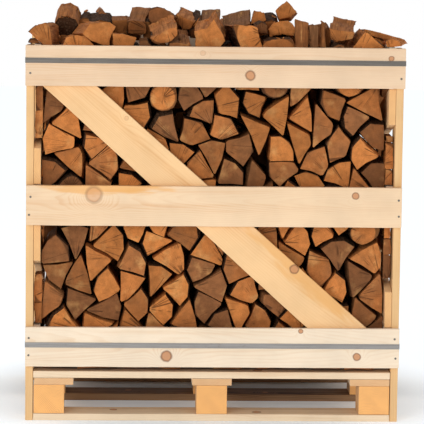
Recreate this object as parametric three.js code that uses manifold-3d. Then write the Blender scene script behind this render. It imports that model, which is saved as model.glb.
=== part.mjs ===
// A crate of split firewood: a slatted softwood crate on a block pallet, held by two steel bands,
// filled with three stacked rows of short logs and a loose heap on top.
// Millimetres, +Z up. The origin is on the floor at the middle of the footprint, and -Y is the front.
import * as THREE from 'three';
import { mergeVertices } from 'three/addons/utils/BufferGeometryUtils.js';
import Module from 'manifold-3d';

// Driving dimensions
const crateWidth = 1180; // over the ends of the top slats
const crateDepth = 800; // over the faces of the front and back slats
const gap = 0.3; // left between pieces that touch

const slatHeight = 127;
const slatThickness = 20; // front and back slats
const sideBoardThickness = 22; // side slats and every brace
const braceWidth = { top: 113, bottom: 126 }; // the long braces widen towards their feet
const sideBraceWidth = 112;
const slats = [
  { name: 'bottom', base: 175, length: 1176 },
  { name: 'middle', base: 622, length: 1174 },
  { name: 'top', base: 1058, length: crateWidth },
];

const post = { thickness: 24, depth: 95, height: 1180 };
const band = { width: 16, thickness: 0.8, cornerRadius: 1.2, drop: { bottom: 57, top: 47 } };

const boardThickness = 22; // every board of the pallet
const bottomBoardWidth = 115;
const block = { width: 98, depth: 110, height: 92 };
const stringerWidth = 127;
const deckBoard = { width: 100, count: 6 };

const longBrace = { fromX: -455, toX: 388 }; // where its middle line leaves the top and the bottom slat
const braceInset = { low: 6, high: 12 }; // where a long brace stops inside the lowest slat and the posts
const looseFit = 1; // between the crate's walls and what stands inside them

const logRows = ['front', 'middle', 'back'];
const rowTop = 1160;
const rowGap = 2;
const moundTop = 1226;
const topLogLength = 228;

// The loose logs that lie highest. A log's corners are given as seen from the front, around the place of
// its front end, and the log runs back from there. Angles are in degrees: tilt lifts the rear end, and turn
// takes it to the left.
const topLogs = [
  {
    at: [-542, -352, 1214],
    turn: -6,
    tilt: -4,
    corners: [[-45, 9], [-20, 30], [11, 41], [26, 28], [33, -36], [8, -37], [2, -26], [-17, -14]],
  },
  {
    at: [-470, -114, 1227],
    turn: -2,
    tilt: 7,
    corners: [[-38, 12], [-25, 28], [4, 38], [33, 22], [43, -6], [32, -38], [-20, -38], [-38, -13]],
  },
  {
    at: [-360, -114, 1224],
    turn: 0,
    tilt: 4,
    corners: [[-46, 2], [-33, 16], [-1, 23], [31, 17], [44, -2], [37, -28], [-33, -28]],
  },
  {
    at: [-244, -114, 1224],
    turn: -5,
    tilt: 8,
    corners: [[-33, 21], [-9, 24], [28, 21], [31, -20], [11, -30], [-27, -18]],
  },
  {
    at: [-167, -114, 1260],
    turn: -5,
    tilt: -6,
    corners: [[-38, 27], [-13, 32], [13, 27], [35, 15], [41, -11], [29, -43], [-28, -43], [-40, -5]],
  },
  {
    at: [-99, -114, 1245],
    turn: -5,
    tilt: 3,
    corners: [[-24, 21], [-18, 26], [43, -1], [24, -24], [2, -24], [-15, -2]],
  },
  {
    at: [-11, -114, 1207],
    turn: -3,
    tilt: 11,
    corners: [[-31, 20], [31, 25], [31, -1], [20, -20], [-22, -21], [-33, -2]],
  },
  {
    at: [83, -114, 1205],
    turn: -3,
    tilt: 9,
    corners: [[-60, 11], [35, 36], [42, 2], [23, -24], [-41, -24]],
  },
  {
    at: [233, -114, 1279],
    turn: -4,
    tilt: -6,
    corners: [[2, 39], [35, 3], [16, -21], [-22, -25], [-34, 4]],
  },
  {
    at: [392, -352, 1217],
    turn: -8,
    tilt: 6,
    corners: [[-40, 27], [10, 18], [39, 15], [33, -4], [23, -8], [-5, -17], [-23, -23], [-36, -5]],
  },
  {
    at: [477, -352, 1191],
    turn: 0,
    tilt: -1,
    corners: [[-9, 44], [-46, -3], [-55, -20], [-48, -25], [52, -25], [60, -18], [48, -2]],
  },
];

// Sizes that follow from the ones above
const slatBack = crateDepth / 2 - slatThickness; // how far forward the posts and the pallet reach
const postOuter = slats[0].length / 2;
const postInner = postOuter - post.thickness;
const palletWidth = 2 * (postInner - looseFit);
const palletDepth = 2 * slatBack;
const blockTop = boardThickness + block.height;
const stringerTop = blockTop + boardThickness;
const deckTop = stringerTop + boardThickness;
const sideInner = postInner - gap - sideBoardThickness;
const loadFront = slatBack - gap - sideBoardThickness - gap; // the stack starts behind the braces
const [bottomSlat, middleSlat, topSlat] = slats;

const finish = {
  slat: { color: 0xf4dab5, roughness: 0.72 },
  post: { color: 0xf0c68c, roughness: 0.75 },
  brace: { color: 0xf5cf98, roughness: 0.72 },
  palletBoard: { color: 0xf0d6b6, roughness: 0.8 },
  palletBlock: { color: 0xe9a760, roughness: 0.85 },
  band: { color: 0x8a857c, roughness: 0.4, metalness: 0.8 },
  firewood: { color: 0xa8693c, roughness: 0.85 },
};

const crate = new THREE.Group();

function addPiece(name, geometry, look, position = [0, 0, 0]) {
  const material = new THREE.MeshStandardMaterial({ metalness: 0, ...finish[look] });
  const mesh = new THREE.Mesh(geometry, material);
  mesh.name = name;
  mesh.position.set(...position);
  crate.add(mesh);
}

// A straight board between two corners
function addBoard(name, look, low, high) {
  const size = high.map((value, axis) => value - low[axis]);
  const centre = high.map((value, axis) => (value + low[axis]) / 2);
  addPiece(name, new THREE.BoxGeometry(...size), look, centre);
}

// The part of a polygon where keep(point) is not negative; keep is linear over the plane
function cutPolygon(points, keep) {
  const kept = [];
  points.forEach((point, index) => {
    const next = points[(index + 1) % points.length];
    const here = keep(point);
    const there = keep(next);
    if (here >= 0) kept.push(point);
    if (here * there < 0) kept.push(point.clone().lerp(next, here / (here - there)));
  });
  return kept;
}

// A diagonal board along a line, trimmed to the window between its two corners
function braceShape(start, end, startWidth, endWidth, low, high) {
  const along = new THREE.Vector2().subVectors(end, start);
  const across = new THREE.Vector2(-along.y, along.x).normalize();
  const edgePoint = (beyond, side) => new THREE.Vector2()
    .lerpVectors(start, end, beyond)
    .addScaledVector(across, side * THREE.MathUtils.lerp(startWidth, endWidth, beyond) / 2);
  const past = 0.2; // run past both ends of the line, to be trimmed
  let points = [
    edgePoint(-past, -1),
    edgePoint(1 + past, -1),
    edgePoint(1 + past, 1),
    edgePoint(-past, 1),
  ];
  points = cutPolygon(points, (point) => point.x - low.x);
  points = cutPolygon(points, (point) => high.x - point.x);
  points = cutPolygon(points, (point) => point.y - low.y);
  points = cutPolygon(points, (point) => high.y - point.y);
  return new THREE.Shape(points);
}

function addPallet() {
  const halfWidth = palletWidth / 2;
  const halfDepth = palletDepth / 2;
  const rows = {
    front: -halfDepth + bottomBoardWidth / 2,
    middle: 0,
    back: halfDepth - bottomBoardWidth / 2,
  };
  const columns = { left: -1, middle: 0, right: 1 };
  const lift = gap / 2;

  for (const [row, y] of Object.entries(rows)) {
    addBoard(`pallet_bottom_board_${row}`, 'palletBoard',
      [-halfWidth, y - bottomBoardWidth / 2, 0],
      [halfWidth, y + bottomBoardWidth / 2, boardThickness - lift]);
    for (const [column, side] of Object.entries(columns)) {
      const x = side * (halfWidth - block.width / 2);
      addBoard(`pallet_block_${row}_${column}`, 'palletBlock',
        [x - block.width / 2, y - block.depth / 2, boardThickness + lift],
        [x + block.width / 2, y + block.depth / 2, blockTop - lift]);
    }
  }

  for (const [column, side] of Object.entries(columns)) {
    const x = side * (halfWidth - stringerWidth / 2);
    addBoard(`pallet_stringer_${column}`, 'palletBoard',
      [x - stringerWidth / 2, -halfDepth, blockTop + lift],
      [x + stringerWidth / 2, halfDepth, stringerTop - lift]);
  }

  const pitch = (palletDepth - deckBoard.width) / (deckBoard.count - 1);
  for (let index = 0; index < deckBoard.count; index++) {
    const front = -halfDepth + index * pitch;
    addBoard(`pallet_deck_board_${index + 1}`, 'palletBoard',
      [-halfWidth, front, stringerTop + lift],
      [halfWidth, front + deckBoard.width, deckTop]);
  }
}

function addPosts() {
  for (const [end, toward] of [['front', -1], ['back', 1]]) {
    for (const [side, hand] of [['left', -1], ['right', 1]]) {
      const x = hand * (postOuter - post.thickness / 2);
      const y = toward * (slatBack - post.depth / 2);
      addBoard(`post_${end}_${side}`, 'post',
        [x - post.thickness / 2, y - post.depth / 2, 0],
        [x + post.thickness / 2, y + post.depth / 2, post.height]);
    }
  }
}

// Three slats nailed over the posts, and one long brace behind them. The back is the front turned round.
function addFaces() {
  const brace = braceShape(
    new THREE.Vector2(longBrace.fromX, topSlat.base),
    new THREE.Vector2(longBrace.toX, bottomSlat.base + slatHeight),
    braceWidth.top,
    braceWidth.bottom,
    new THREE.Vector2(looseFit - sideInner, bottomSlat.base + braceInset.low),
    new THREE.Vector2(sideInner - looseFit, post.height - braceInset.high),
  );
  for (const [end, toward] of [['front', -1], ['back', 1]]) {
    for (const slat of slats) {
      const inner = toward * (slatBack + gap);
      const outer = toward * (crateDepth / 2);
      addBoard(`${end}_slat_${slat.name}`, 'slat',
        [-slat.length / 2, Math.min(inner, outer), slat.base],
        [slat.length / 2, Math.max(inner, outer), slat.base + slatHeight]);
    }
    const geometry = new THREE.ExtrudeGeometry(brace, {
      depth: sideBoardThickness,
      bevelEnabled: false,
    });
    geometry.rotateX(Math.PI / 2); // the outline stands up, and its thickness runs towards -Y
    geometry.translate(0, -slatBack + sideBoardThickness, 0);
    if (toward > 0) geometry.rotateZ(Math.PI);
    addPiece(`${end}_brace`, geometry, 'brace');
  }
}

// Side slats inside the posts, and between them two braces that meet at one post's middle
function addSides() {
  const reach = slatBack - gap;
  for (const [side, hand] of [['left', -1], ['right', 1]]) {
    const outer = hand * (postInner - gap);
    const inner = hand * sideInner;
    for (const slat of slats) {
      addBoard(`${side}_slat_${slat.name}`, 'slat',
        [Math.min(inner, outer), -reach, slat.base],
        [Math.max(inner, outer), reach, slat.base + slatHeight]);
    }

    // The braces meet at the front of the left side and at the back of the right side
    const openings = [
      { name: 'upper', low: middleSlat.base + slatHeight, high: topSlat.base, meetsLow: true },
      { name: 'lower', low: bottomSlat.base + slatHeight, high: middleSlat.base, meetsLow: false },
    ];
    for (const opening of openings) {
      const low = new THREE.Vector2(-reach, opening.low + gap);
      const high = new THREE.Vector2(reach, opening.high - gap);
      const half = sideBraceWidth / 2;
      const meeting = opening.meetsLow ? low.y + half : high.y - half;
      const parting = opening.meetsLow ? high.y - half : low.y + half;
      const outline = braceShape(
        new THREE.Vector2(hand * reach, meeting),
        new THREE.Vector2(-hand * reach, parting),
        sideBraceWidth, sideBraceWidth, low, high,
      );
      const geometry = new THREE.ExtrudeGeometry(outline, {
        depth: sideBoardThickness,
        bevelEnabled: false,
      });
      geometry.rotateX(Math.PI / 2);
      geometry.rotateZ(Math.PI / 2); // the outline now lies in the Y-Z plane, thick towards +X
      addPiece(`${side}_brace_${opening.name}`, geometry, 'brace', [Math.min(inner, outer), 0, 0]);
    }
  }
}

function roundedRectangle(path, halfX, halfY, radius) {
  path.moveTo(halfX - radius, -halfY);
  path.absarc(halfX - radius, -halfY + radius, radius, -Math.PI / 2, 0);
  path.absarc(halfX - radius, halfY - radius, radius, 0, Math.PI / 2);
  path.absarc(-halfX + radius, halfY - radius, radius, Math.PI / 2, Math.PI);
  path.absarc(-halfX + radius, -halfY + radius, radius, Math.PI, 1.5 * Math.PI);
  path.closePath();
}

// A steel band drawn tight round the slats, with a weld where its ends overlap
function addBands() {
  for (const slat of [bottomSlat, topSlat]) {
    const innerX = slat.length / 2 + gap;
    const innerY = crateDepth / 2 + gap;
    const loop = new THREE.Shape();
    roundedRectangle(loop, innerX + band.thickness, innerY + band.thickness, band.cornerRadius);
    const hole = new THREE.Path();
    hole.moveTo(-innerX, -innerY);
    hole.lineTo(-innerX, innerY);
    hole.lineTo(innerX, innerY);
    hole.lineTo(innerX, -innerY);
    hole.closePath();
    loop.holes.push(hole);
    const geometry = new THREE.ExtrudeGeometry(loop, {
      depth: band.width,
      bevelEnabled: false,
      curveSegments: 3,
    });
    const top = slat.base + slatHeight - band.drop[slat.name];
    addPiece(`steel_band_${slat.name}`, geometry, 'band', [0, 0, top - band.width / 2]);
  }
}

// Each row of stacked logs is one solid out to the ends of its logs
function addLogRows() {
  const rowDepth = (2 * loadFront - (logRows.length - 1) * rowGap) / logRows.length;
  const halfWidth = sideInner - looseFit;
  logRows.forEach((row, index) => {
    const front = -loadFront + index * (rowDepth + rowGap);
    addBoard(`log_row_${row}`, 'firewood',
      [-halfWidth, front, deckTop + gap],
      [halfWidth, front + rowDepth, rowTop]);
  });
}

// A split log's outline, with its bark upwards and its middle at the origin
function addTopLogs() {
  topLogs.forEach((log, index) => {
    const end = new THREE.Shape(log.corners.map(([across, up]) => new THREE.Vector2(across, up)));
    const geometry = new THREE.ExtrudeGeometry(end, {
      depth: topLogLength,
      bevelEnabled: false,
    });
    geometry.rotateX(Math.PI / 2);
    geometry.translate(0, topLogLength, 0);
    geometry.rotateX(THREE.MathUtils.degToRad(log.tilt));
    geometry.rotateZ(THREE.MathUtils.degToRad(log.turn));
    log.geometry = geometry;
    addPiece(`heap_log_${index + 1}`, geometry, 'firewood', log.at);
  });
}

// Closed solids for cutting, with the vertices that faces share merged
function toSolid(wasm, geometry) {
  const bare = geometry.clone();
  bare.deleteAttribute('normal');
  bare.deleteAttribute('uv');
  const merged = mergeVertices(bare, 1e-3);
  return new wasm.Manifold(new wasm.Mesh({
    numProp: 3,
    vertProperties: new Float32Array(merged.attributes.position.array),
    triVerts: new Uint32Array(merged.index.array),
  }));
}

function toGeometry(solid) {
  const { vertProperties, triVerts } = solid.getMesh();
  const geometry = new THREE.BufferGeometry();
  geometry.setAttribute('position', new THREE.BufferAttribute(new Float32Array(vertProperties), 3));
  geometry.setIndex(new THREE.BufferAttribute(new Uint32Array(triVerts), 1));
  return geometry;
}

// The other loose logs are one mound, with a bed cut in it for each of the highest ones
async function addHeap() {
  const halfWidth = sideInner - looseFit;
  const base = rowTop + gap;
  const rise = moundTop - base;
  // How high the mound stands across the crate, as shares of the half width and of its rise
  const crest = [[-1, 0.5], [-0.8, 0.9], [-0.4, 1], [0.4, 1], [0.7, 0.85], [0.88, 0.6], [1, 0.45]];
  const outline = new THREE.Shape();
  outline.moveTo(-halfWidth, base);
  outline.lineTo(halfWidth, base);
  for (const [across, share] of crest.toReversed()) {
    outline.lineTo(across * halfWidth, base + share * rise);
  }
  outline.closePath();
  const geometry = new THREE.ExtrudeGeometry(outline, {
    depth: 2 * loadFront,
    bevelEnabled: false,
  });
  geometry.rotateX(Math.PI / 2);
  geometry.translate(0, loadFront, 0);

  const wasm = await Module();
  wasm.setup();
  let mound = toSolid(wasm, geometry);
  const clearance = 1.012; // a bed is this much larger than its log
  for (const log of topLogs) {
    const bed = log.geometry.clone();
    bed.computeBoundingBox();
    const middle = bed.boundingBox.getCenter(new THREE.Vector3());
    bed.translate(...middle.clone().negate());
    bed.scale(clearance, clearance, clearance);
    bed.translate(...middle.add(new THREE.Vector3(...log.at)));
    mound = mound.subtract(toSolid(wasm, bed));
  }
  addPiece('log_heap', toGeometry(mound), 'firewood');
}

addPallet();
addPosts();
addFaces();
addSides();
addBands();
addLogRows();
addTopLogs();
await addHeap();

export default crate;
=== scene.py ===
import itertools
import math
import random
import bpy
import bmesh
import numpy as np
from numpy.lib.stride_tricks import sliding_window_view
from mathutils import Matrix, Vector, noise
from mathutils.bvhtree import BVHTree


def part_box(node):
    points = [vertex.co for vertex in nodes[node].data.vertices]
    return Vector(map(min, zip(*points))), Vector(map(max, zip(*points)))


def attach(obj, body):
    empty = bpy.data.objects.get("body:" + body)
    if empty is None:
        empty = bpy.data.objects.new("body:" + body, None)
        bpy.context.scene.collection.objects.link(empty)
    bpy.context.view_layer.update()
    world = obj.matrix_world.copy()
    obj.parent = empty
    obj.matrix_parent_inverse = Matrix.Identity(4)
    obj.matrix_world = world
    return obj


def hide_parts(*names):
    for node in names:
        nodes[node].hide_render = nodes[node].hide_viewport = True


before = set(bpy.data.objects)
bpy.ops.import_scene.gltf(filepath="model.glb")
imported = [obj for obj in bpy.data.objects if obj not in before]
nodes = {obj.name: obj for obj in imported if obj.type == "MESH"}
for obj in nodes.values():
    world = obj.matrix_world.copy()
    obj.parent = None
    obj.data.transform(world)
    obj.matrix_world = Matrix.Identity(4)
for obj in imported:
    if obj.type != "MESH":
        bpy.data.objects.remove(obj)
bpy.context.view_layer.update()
mm = 0.001
seeds = {"timber": 71, "nails": 3, "rows": 5, "heap": 19, "sides": 47}


def pointAt(turn, down, roll=0.0):
    # turned right from straight ahead, tipped down, then rolled, all in degrees
    return (Matrix.Rotation(math.radians(-turn), 3, "Z")
            @ Matrix.Rotation(math.radians(90 - down), 3, "X")
            @ Matrix.Rotation(math.radians(roll), 3, "Z"))


view = {"place": (-0.352, -8.944, 1.784), "turn": 2.31, "down": 7.43, "roll": 0.72, "lens": 234.6, "far": 60}


def addCamera():
    data = bpy.data.cameras.new("camera")
    data.lens = view["lens"]
    data.clip_end = view["far"]
    camera = bpy.data.objects.new("camera", data)
    turned = pointAt(view["turn"], view["down"], view["roll"])
    camera.matrix_world = Matrix.Translation(view["place"]) @ turned.to_4x4()
    bpy.context.scene.collection.objects.link(camera)
    bpy.context.scene.camera = camera


studio = {
    "floorSize": 24.0,
    "floorColour": (0.82, 0.90, 0.97, 1),
    "floorGlow": 0.5, # so that the far floor is as white as the backdrop
    "farFloor": (0.4, 1.0), # how far out that glow starts and is full
    "nearGlow": 0.16, # along the front of the pallet; the floor under it stays dark
    "underPallet": (-0.06, 0.12), # where the near glow starts to fade and is gone, front to back
    "skyStrength": 0.56, # on the object; the backdrop itself stays white
    # name, place, size, watts, turn, down
    "lamps": [
        ("key", (-2.6, -5.4, 2.1), 2.4, 100, 26, 14),
        ("fill", (4.0, -4.8, 0.9), 3.0, 44, -40, 3),
        ("top", (0.0, 0.6, 4.6), 2.6, 10, 0, 90),
    ],
}


def addStudio():
    scene = bpy.context.scene
    scene.view_settings.view_transform = "Standard"
    bm = bmesh.new()
    bmesh.ops.create_grid(bm, x_segments=1, y_segments=1, size=studio["floorSize"] / 2)
    mesh = bpy.data.meshes.new("floor")
    bm.to_mesh(mesh)
    bm.free()
    floor = bpy.data.objects.new("floor", mesh)
    scene.collection.objects.link(floor)
    paint, tree = newMaterial("floorPaint", {"Base Color": studio["floorColour"], "Roughness": 0.9,
                                             "Emission Color": (1, 1, 1, 1)})
    place = addNode(tree, "ShaderNodeTexCoord").outputs["Object"]
    across = addNode(tree, "ShaderNodeSeparateXYZ", {0: place}).outputs["Y"]
    near = ramp(tree, across, *studio["underPallet"], studio["nearGlow"], 0.0)
    away = vectorMaths(tree, "LENGTH", place)
    linkShader(paint, {"Emission Strength": ramp(tree, away, *studio["farFloor"], near, studio["floorGlow"])})
    mesh.materials.append(paint)

    world = bpy.data.worlds.new("studio")
    world.use_nodes = True
    tree = world.node_tree
    seen = tree.nodes.new("ShaderNodeLightPath").outputs["Is Camera Ray"]
    strength = maths(tree, "MULTIPLY_ADD", seen, 1.0 - studio["skyStrength"], studio["skyStrength"])
    background = tree.nodes["Background"]
    background.inputs["Color"].default_value = (1, 1, 1, 1)
    tree.links.new(strength, background.inputs["Strength"])
    scene.world = world
    for name, place, size, watts, turn, down in studio["lamps"]:
        light = bpy.data.lights.new(name, "AREA")
        light.size = size
        light.energy = watts
        lamp = bpy.data.objects.new(name, light)
        lamp.matrix_world = Matrix.Translation(place) @ pointAt(turn, down).to_4x4()
        scene.collection.objects.link(lamp)


def addNode(tree, kind, inputs=None, **settings):
    node = tree.nodes.new(kind)
    for key, value in settings.items():
        setattr(node, key, value)
    for key, value in (inputs or {}).items():
        if isinstance(value, bpy.types.NodeSocket):
            tree.links.new(value, node.inputs[key])
        else:
            node.inputs[key].default_value = value
    return node


def maths(tree, operation, *values, clamp=False):
    inputs = dict(enumerate(values))
    return addNode(tree, "ShaderNodeMath", inputs, operation=operation, use_clamp=clamp).outputs[0]


def vectorMaths(tree, operation, *values):
    node = addNode(tree, "ShaderNodeVectorMath", dict(enumerate(values)), operation=operation)
    return node.outputs["Value" if operation in ("LENGTH", "DISTANCE", "DOT_PRODUCT") else "Vector"]


def ramp(tree, value, low, high, start=0.0, end=1.0):
    # start below low, end above high, and a smooth step between
    inputs = {"Value": value, "From Min": low, "From Max": high, "To Min": start, "To Max": end}
    return addNode(tree, "ShaderNodeMapRange", inputs, interpolation_type="SMOOTHSTEP").outputs["Result"]


def blendColours(tree, factor, first, second, mode="MIX"):
    inputs = {"Factor": factor, 6: first, 7: second}
    node = addNode(tree, "ShaderNodeMix", inputs, data_type="RGBA", blend_type=mode)
    return node.outputs[2]


def shadeColour(tree, colour, shade):
    grey = addNode(tree, "ShaderNodeCombineColor", {0: shade, 1: shade, 2: shade}).outputs[0]
    return blendColours(tree, 1.0, colour, grey, "MULTIPLY")


def noiseAt(tree, place, scale, detail=2.0, roughness=0.5, stretch=None, output="Fac"):
    if stretch:
        place = vectorMaths(tree, "MULTIPLY", place, stretch)
    inputs = {"Vector": place, "Scale": scale, "Detail": detail, "Roughness": roughness}
    return addNode(tree, "ShaderNodeTexNoise", inputs).outputs[output]


def readAttribute(tree, name, output="Vector"):
    return addNode(tree, "ShaderNodeAttribute", attribute_name=name).outputs[output]


def newGroup(name, inputs, outputs):
    # inputs and outputs are values by name: one number, three for a vector or four for a colour
    group = bpy.data.node_groups.new(name, "ShaderNodeTree")
    kinds = {1: "NodeSocketFloat", 3: "NodeSocketVector", 4: "NodeSocketColor"}
    for way, sockets in (("INPUT", inputs), ("OUTPUT", outputs)):
        for label, value in sockets.items():
            socket = group.interface.new_socket(label, in_out=way, socket_type=kinds[np.size(value)])
            socket.default_value = value
    return group, group.nodes.new("NodeGroupInput").outputs, group.nodes.new("NodeGroupOutput").inputs


def useGroup(tree, group, inputs):
    return addNode(tree, "ShaderNodeGroup", inputs, node_tree=group).outputs


def newMaterial(name, settings):
    material = bpy.data.materials.new(name)
    material.use_nodes = True
    for key, value in settings.items():
        material.node_tree.nodes["Principled BSDF"].inputs[key].default_value = value
    return material, material.node_tree


def linkShader(material, values):
    shader = material.node_tree.nodes["Principled BSDF"]
    for key, value in values.items():
        material.node_tree.links.new(value, shader.inputs[key])


# how strong each surface's bump is, and how deep
bumps = {
    "timber": (0.35, 0.8 * mm),
    "end": (0.6, 0.9 * mm),
    "split": (0.75, 2.0 * mm),
    "bark": (0.9, 2.5 * mm),
    "steel": (0.2, 0.2 * mm),
}


def finishMaterial(material, colour, roughness, height, bump):
    strength, distance = bumps[bump]
    inputs = {"Height": height, "Strength": strength, "Distance": distance}
    normal = addNode(material.node_tree, "ShaderNodeBump", inputs).outputs["Normal"]
    linkShader(material, {"Base Color": colour, "Roughness": roughness, "Normal": normal})
    return material


knotLook = {
    "strength": 0.95,
    "wobble": (0.006, 0.006, 0.0), # how far its outline strays
    "bend": 1.6, # how far it pushes the growth rings aside, in radii
    "halo": 0.95,
    "rim": 0.9,
    "rimDark": 0.65,
    "rimColour": (0.09, 0.035, 0.016, 1),
}


def knotGroup():
    # one knot in a board: the grain bends round it, and it has a dark rim
    group, given, result = newGroup(
        "knot",
        {"Place": (0, 0, 0), "Middle": (0, 0, 0), "Size": 0.015, "Strength": 1.0, "Bend": 0.0, "Mask": 0.0,
         "Rim": 0.0},
        {"Bend": 0.0, "Mask": 0.0, "Rim": 0.0},
    )
    away = vectorMaths(group, "SUBTRACT", given["Place"], given["Middle"])
    flat = vectorMaths(group, "MULTIPLY", away, (1.0, 1.0, 0.0))
    wobble = noiseAt(group, given["Place"], 55.0, output="Color")
    wobble = vectorMaths(group, "SUBTRACT", wobble, (0.5, 0.5, 0.5))
    flat = vectorMaths(group, "ADD", flat, vectorMaths(group, "MULTIPLY", wobble, knotLook["wobble"]))
    reach = maths(group, "DIVIDE", vectorMaths(group, "LENGTH", flat), given["Size"])
    swell = maths(group, "EXPONENT", maths(group, "MULTIPLY", maths(group, "POWER", reach, 2.0), -0.22))
    swell = maths(group, "MULTIPLY", swell, maths(group, "MULTIPLY", given["Size"], knotLook["bend"]))
    mask = ramp(group, reach, 0.86, 1.04, 1.0, 0.0)
    rim = maths(group, "MULTIPLY", ramp(group, reach, 0.7, 0.98), ramp(group, reach, 1.0, 1.35, 1.0, 0.0))
    mask = maths(group, "MULTIPLY", mask, given["Strength"])
    rim = maths(group, "MULTIPLY", rim, given["Strength"])
    group.links.new(maths(group, "ADD", given["Bend"], swell), result["Bend"])
    group.links.new(maths(group, "MAXIMUM", given["Mask"], mask), result["Mask"])
    group.links.new(maths(group, "MAXIMUM", given["Rim"], rim), result["Rim"])
    return group


def timberGroup():
    # sawn softwood: growth rings round a pith line, so faces get long grain and ends get arcs
    colours = dict.fromkeys(("Pale", "Grain", "Heart", "End colour", "Knot colour"), (1, 1, 1, 1))
    group, given, result = newGroup(
        "sawnTimber",
        {"Place": (0, 0, 0), "Rings from": (0, 0, 0), "End": 0.0, "Bend": 0.0, "Knot": 0.0, "Rim": 0.0,
         "Heartwood": 0.0, "Ring width": 0.0045, "Grain strength": 0.5, **colours},
        {"Colour": (1, 1, 1, 1), "Roughness": 0.0, "Height": 0.0},
    )
    place = given["Place"]
    drift = noiseAt(group, place, 1.0, 2.0, stretch=(2.2, 14.0, 14.0))
    drift = maths(group, "MULTIPLY", maths(group, "SUBTRACT", drift, 0.5), 0.03)
    fromPith = vectorMaths(group, "MULTIPLY", given["Rings from"], (0.0, 1.0, 1.0))
    radius = maths(group, "ADD", vectorMaths(group, "LENGTH", fromPith), drift)
    radius = maths(group, "SUBTRACT", radius, given["Bend"])
    rings = maths(group, "FRACT", maths(group, "DIVIDE", radius, given["Ring width"]))
    latewood = ramp(group, rings, 0.35, 0.85)
    latewood = maths(group, "MULTIPLY", latewood, ramp(group, rings, 0.9, 1.0, 1.0, 0.0))
    fade = noiseAt(group, place, 1.0, 2.0, stretch=(1.6, 26.0, 26.0))
    latewood = maths(group, "MULTIPLY", latewood, ramp(group, fade, 0.3, 0.7, 0.25, 1.0))
    fibre = noiseAt(group, place, 1.0, 5.0, 0.65, stretch=(14.0, 420.0, 420.0))
    streak = noiseAt(group, place, 1.0, 3.0, 0.55, stretch=(1.3, 38.0, 38.0))
    blotch = noiseAt(group, place, 6.0, 3.0, 0.6)

    grainAmount = maths(group, "MULTIPLY", latewood, given["Grain strength"])
    grainAmount = maths(group, "ADD", grainAmount, ramp(group, streak, 0.42, 0.75, 0.0, 0.5))
    grainAmount = maths(group, "ADD", grainAmount, ramp(group, fibre, 0.45, 0.8, 0.0, 0.22), clamp=True)
    colour = blendColours(group, grainAmount, given["Pale"], given["Grain"])
    heart = maths(group, "MULTIPLY", given["Heartwood"], ramp(group, streak, 0.2, 0.7, 0.65, 1.0))
    colour = blendColours(group, heart, colour, given["Heart"])
    endRings = maths(group, "MULTIPLY", latewood, 0.55)
    endTone = blendColours(group, endRings, given["End colour"], given["Knot colour"])
    colour = blendColours(group, given["End"], colour, endTone)
    halo = maths(group, "MULTIPLY", given["Knot"], knotLook["halo"])
    colour = blendColours(group, halo, colour, given["Knot colour"])
    rimTone = blendColours(group, knotLook["rimDark"], given["Knot colour"], knotLook["rimColour"])
    colour = blendColours(group, maths(group, "MULTIPLY", given["Rim"], knotLook["rim"]), colour, rimTone)
    colour = shadeColour(group, colour, ramp(group, blotch, 0.25, 0.75, 0.93, 1.03))

    sawn = noiseAt(group, place, 1.0, 2.0, 0.5, stretch=(900.0, 60.0, 60.0))
    height = maths(group, "ADD", maths(group, "MULTIPLY", fibre, 0.6), maths(group, "MULTIPLY", sawn, 0.3))
    height = maths(group, "SUBTRACT", height, maths(group, "MULTIPLY", latewood, 0.25))
    height = maths(group, "SUBTRACT", height, maths(group, "MULTIPLY", given["Rim"], 0.6))
    group.links.new(colour, result["Colour"])
    group.links.new(ramp(group, fibre, 0.3, 0.7, 0.62, 0.82), result["Roughness"])
    group.links.new(height, result["Height"])
    return group


# pale wood, grain and cut ends
timberColours = {
    "slat": ((0.885, 0.725, 0.545), (0.77, 0.54, 0.34), (0.80, 0.52, 0.27)),
    "topSlat": ((0.79, 0.568, 0.372), (0.70, 0.42, 0.232), (0.80, 0.52, 0.27)),
    "middleSlat": ((0.84, 0.61, 0.39), (0.74, 0.45, 0.242), (0.80, 0.52, 0.27)),
    "post": ((0.79, 0.495, 0.228), (0.70, 0.38, 0.15), (0.78, 0.45, 0.18)),
    "brace": ((0.875, 0.56, 0.28), (0.76, 0.42, 0.178), (0.80, 0.45, 0.18)),
    "palletBoard": ((0.87, 0.68, 0.47), (0.72, 0.49, 0.29), (0.76, 0.46, 0.23)),
    # the boards inside the pallet are painted dark: painted shade under the deck
    "palletInnerShaded": ((0.34, 0.19, 0.09), (0.13, 0.06, 0.027), (0.50, 0.28, 0.13)),
    "palletBlock": ((0.82, 0.50, 0.24), (0.66, 0.33, 0.12), (0.96, 0.49, 0.16)),
}
timber = {
    "heart": (0.80, 0.41, 0.13),
    "knot": (0.58, 0.255, 0.105),
    "ringWidth": 4.5 * mm,
    "grain": 0.45,
    "innerGrain": 0.9, # of the boards inside the pallet
}
# colours, knots and heartwood, in millimetres from a board's middle: each knot is (along, across, radius),
# with its strength if it is faint, and heartwood is (along, across, length, width)
timberLooks = {
    "slat": ("slat", [(-212, 22, 9), (301, -31, 12), (512, 8, 7)], None),
    "post": ("post", [(-340, 30, 9), (214, 26, 10)], None),
    "brace": ("brace", [(-140, 18, 10), (166, -26, 8)], None),
    "palletBoard": ("palletBoard", [(-310, 12, 10), (145, -20, 13)], None),
    "palletInnerShaded": ("palletInnerShaded", [(-260, 10, 14), (190, -16, 12)], None),
    "palletBlock": ("palletBlock", [], None),
    "frontTopSlat": ("topSlat", [(107, -25, 14), (545, 32, 8), (-41, 44, 8, 0.25)], None),
    "frontMiddleSlat": ("middleSlat", [(-376, 35, 24, 0.5), (441, 37, 10)], (-340, 62, 330, 46)),
    "frontBottomSlat": ("slat", [(-145, -28, 16), (455, -27, 11), (277, 55, 7)], None),
    "frontBrace": ("brace", [(315, 28, 13), (-395, 30, 7, 0.3)], (350, 48, 440, 84)),
}


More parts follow.
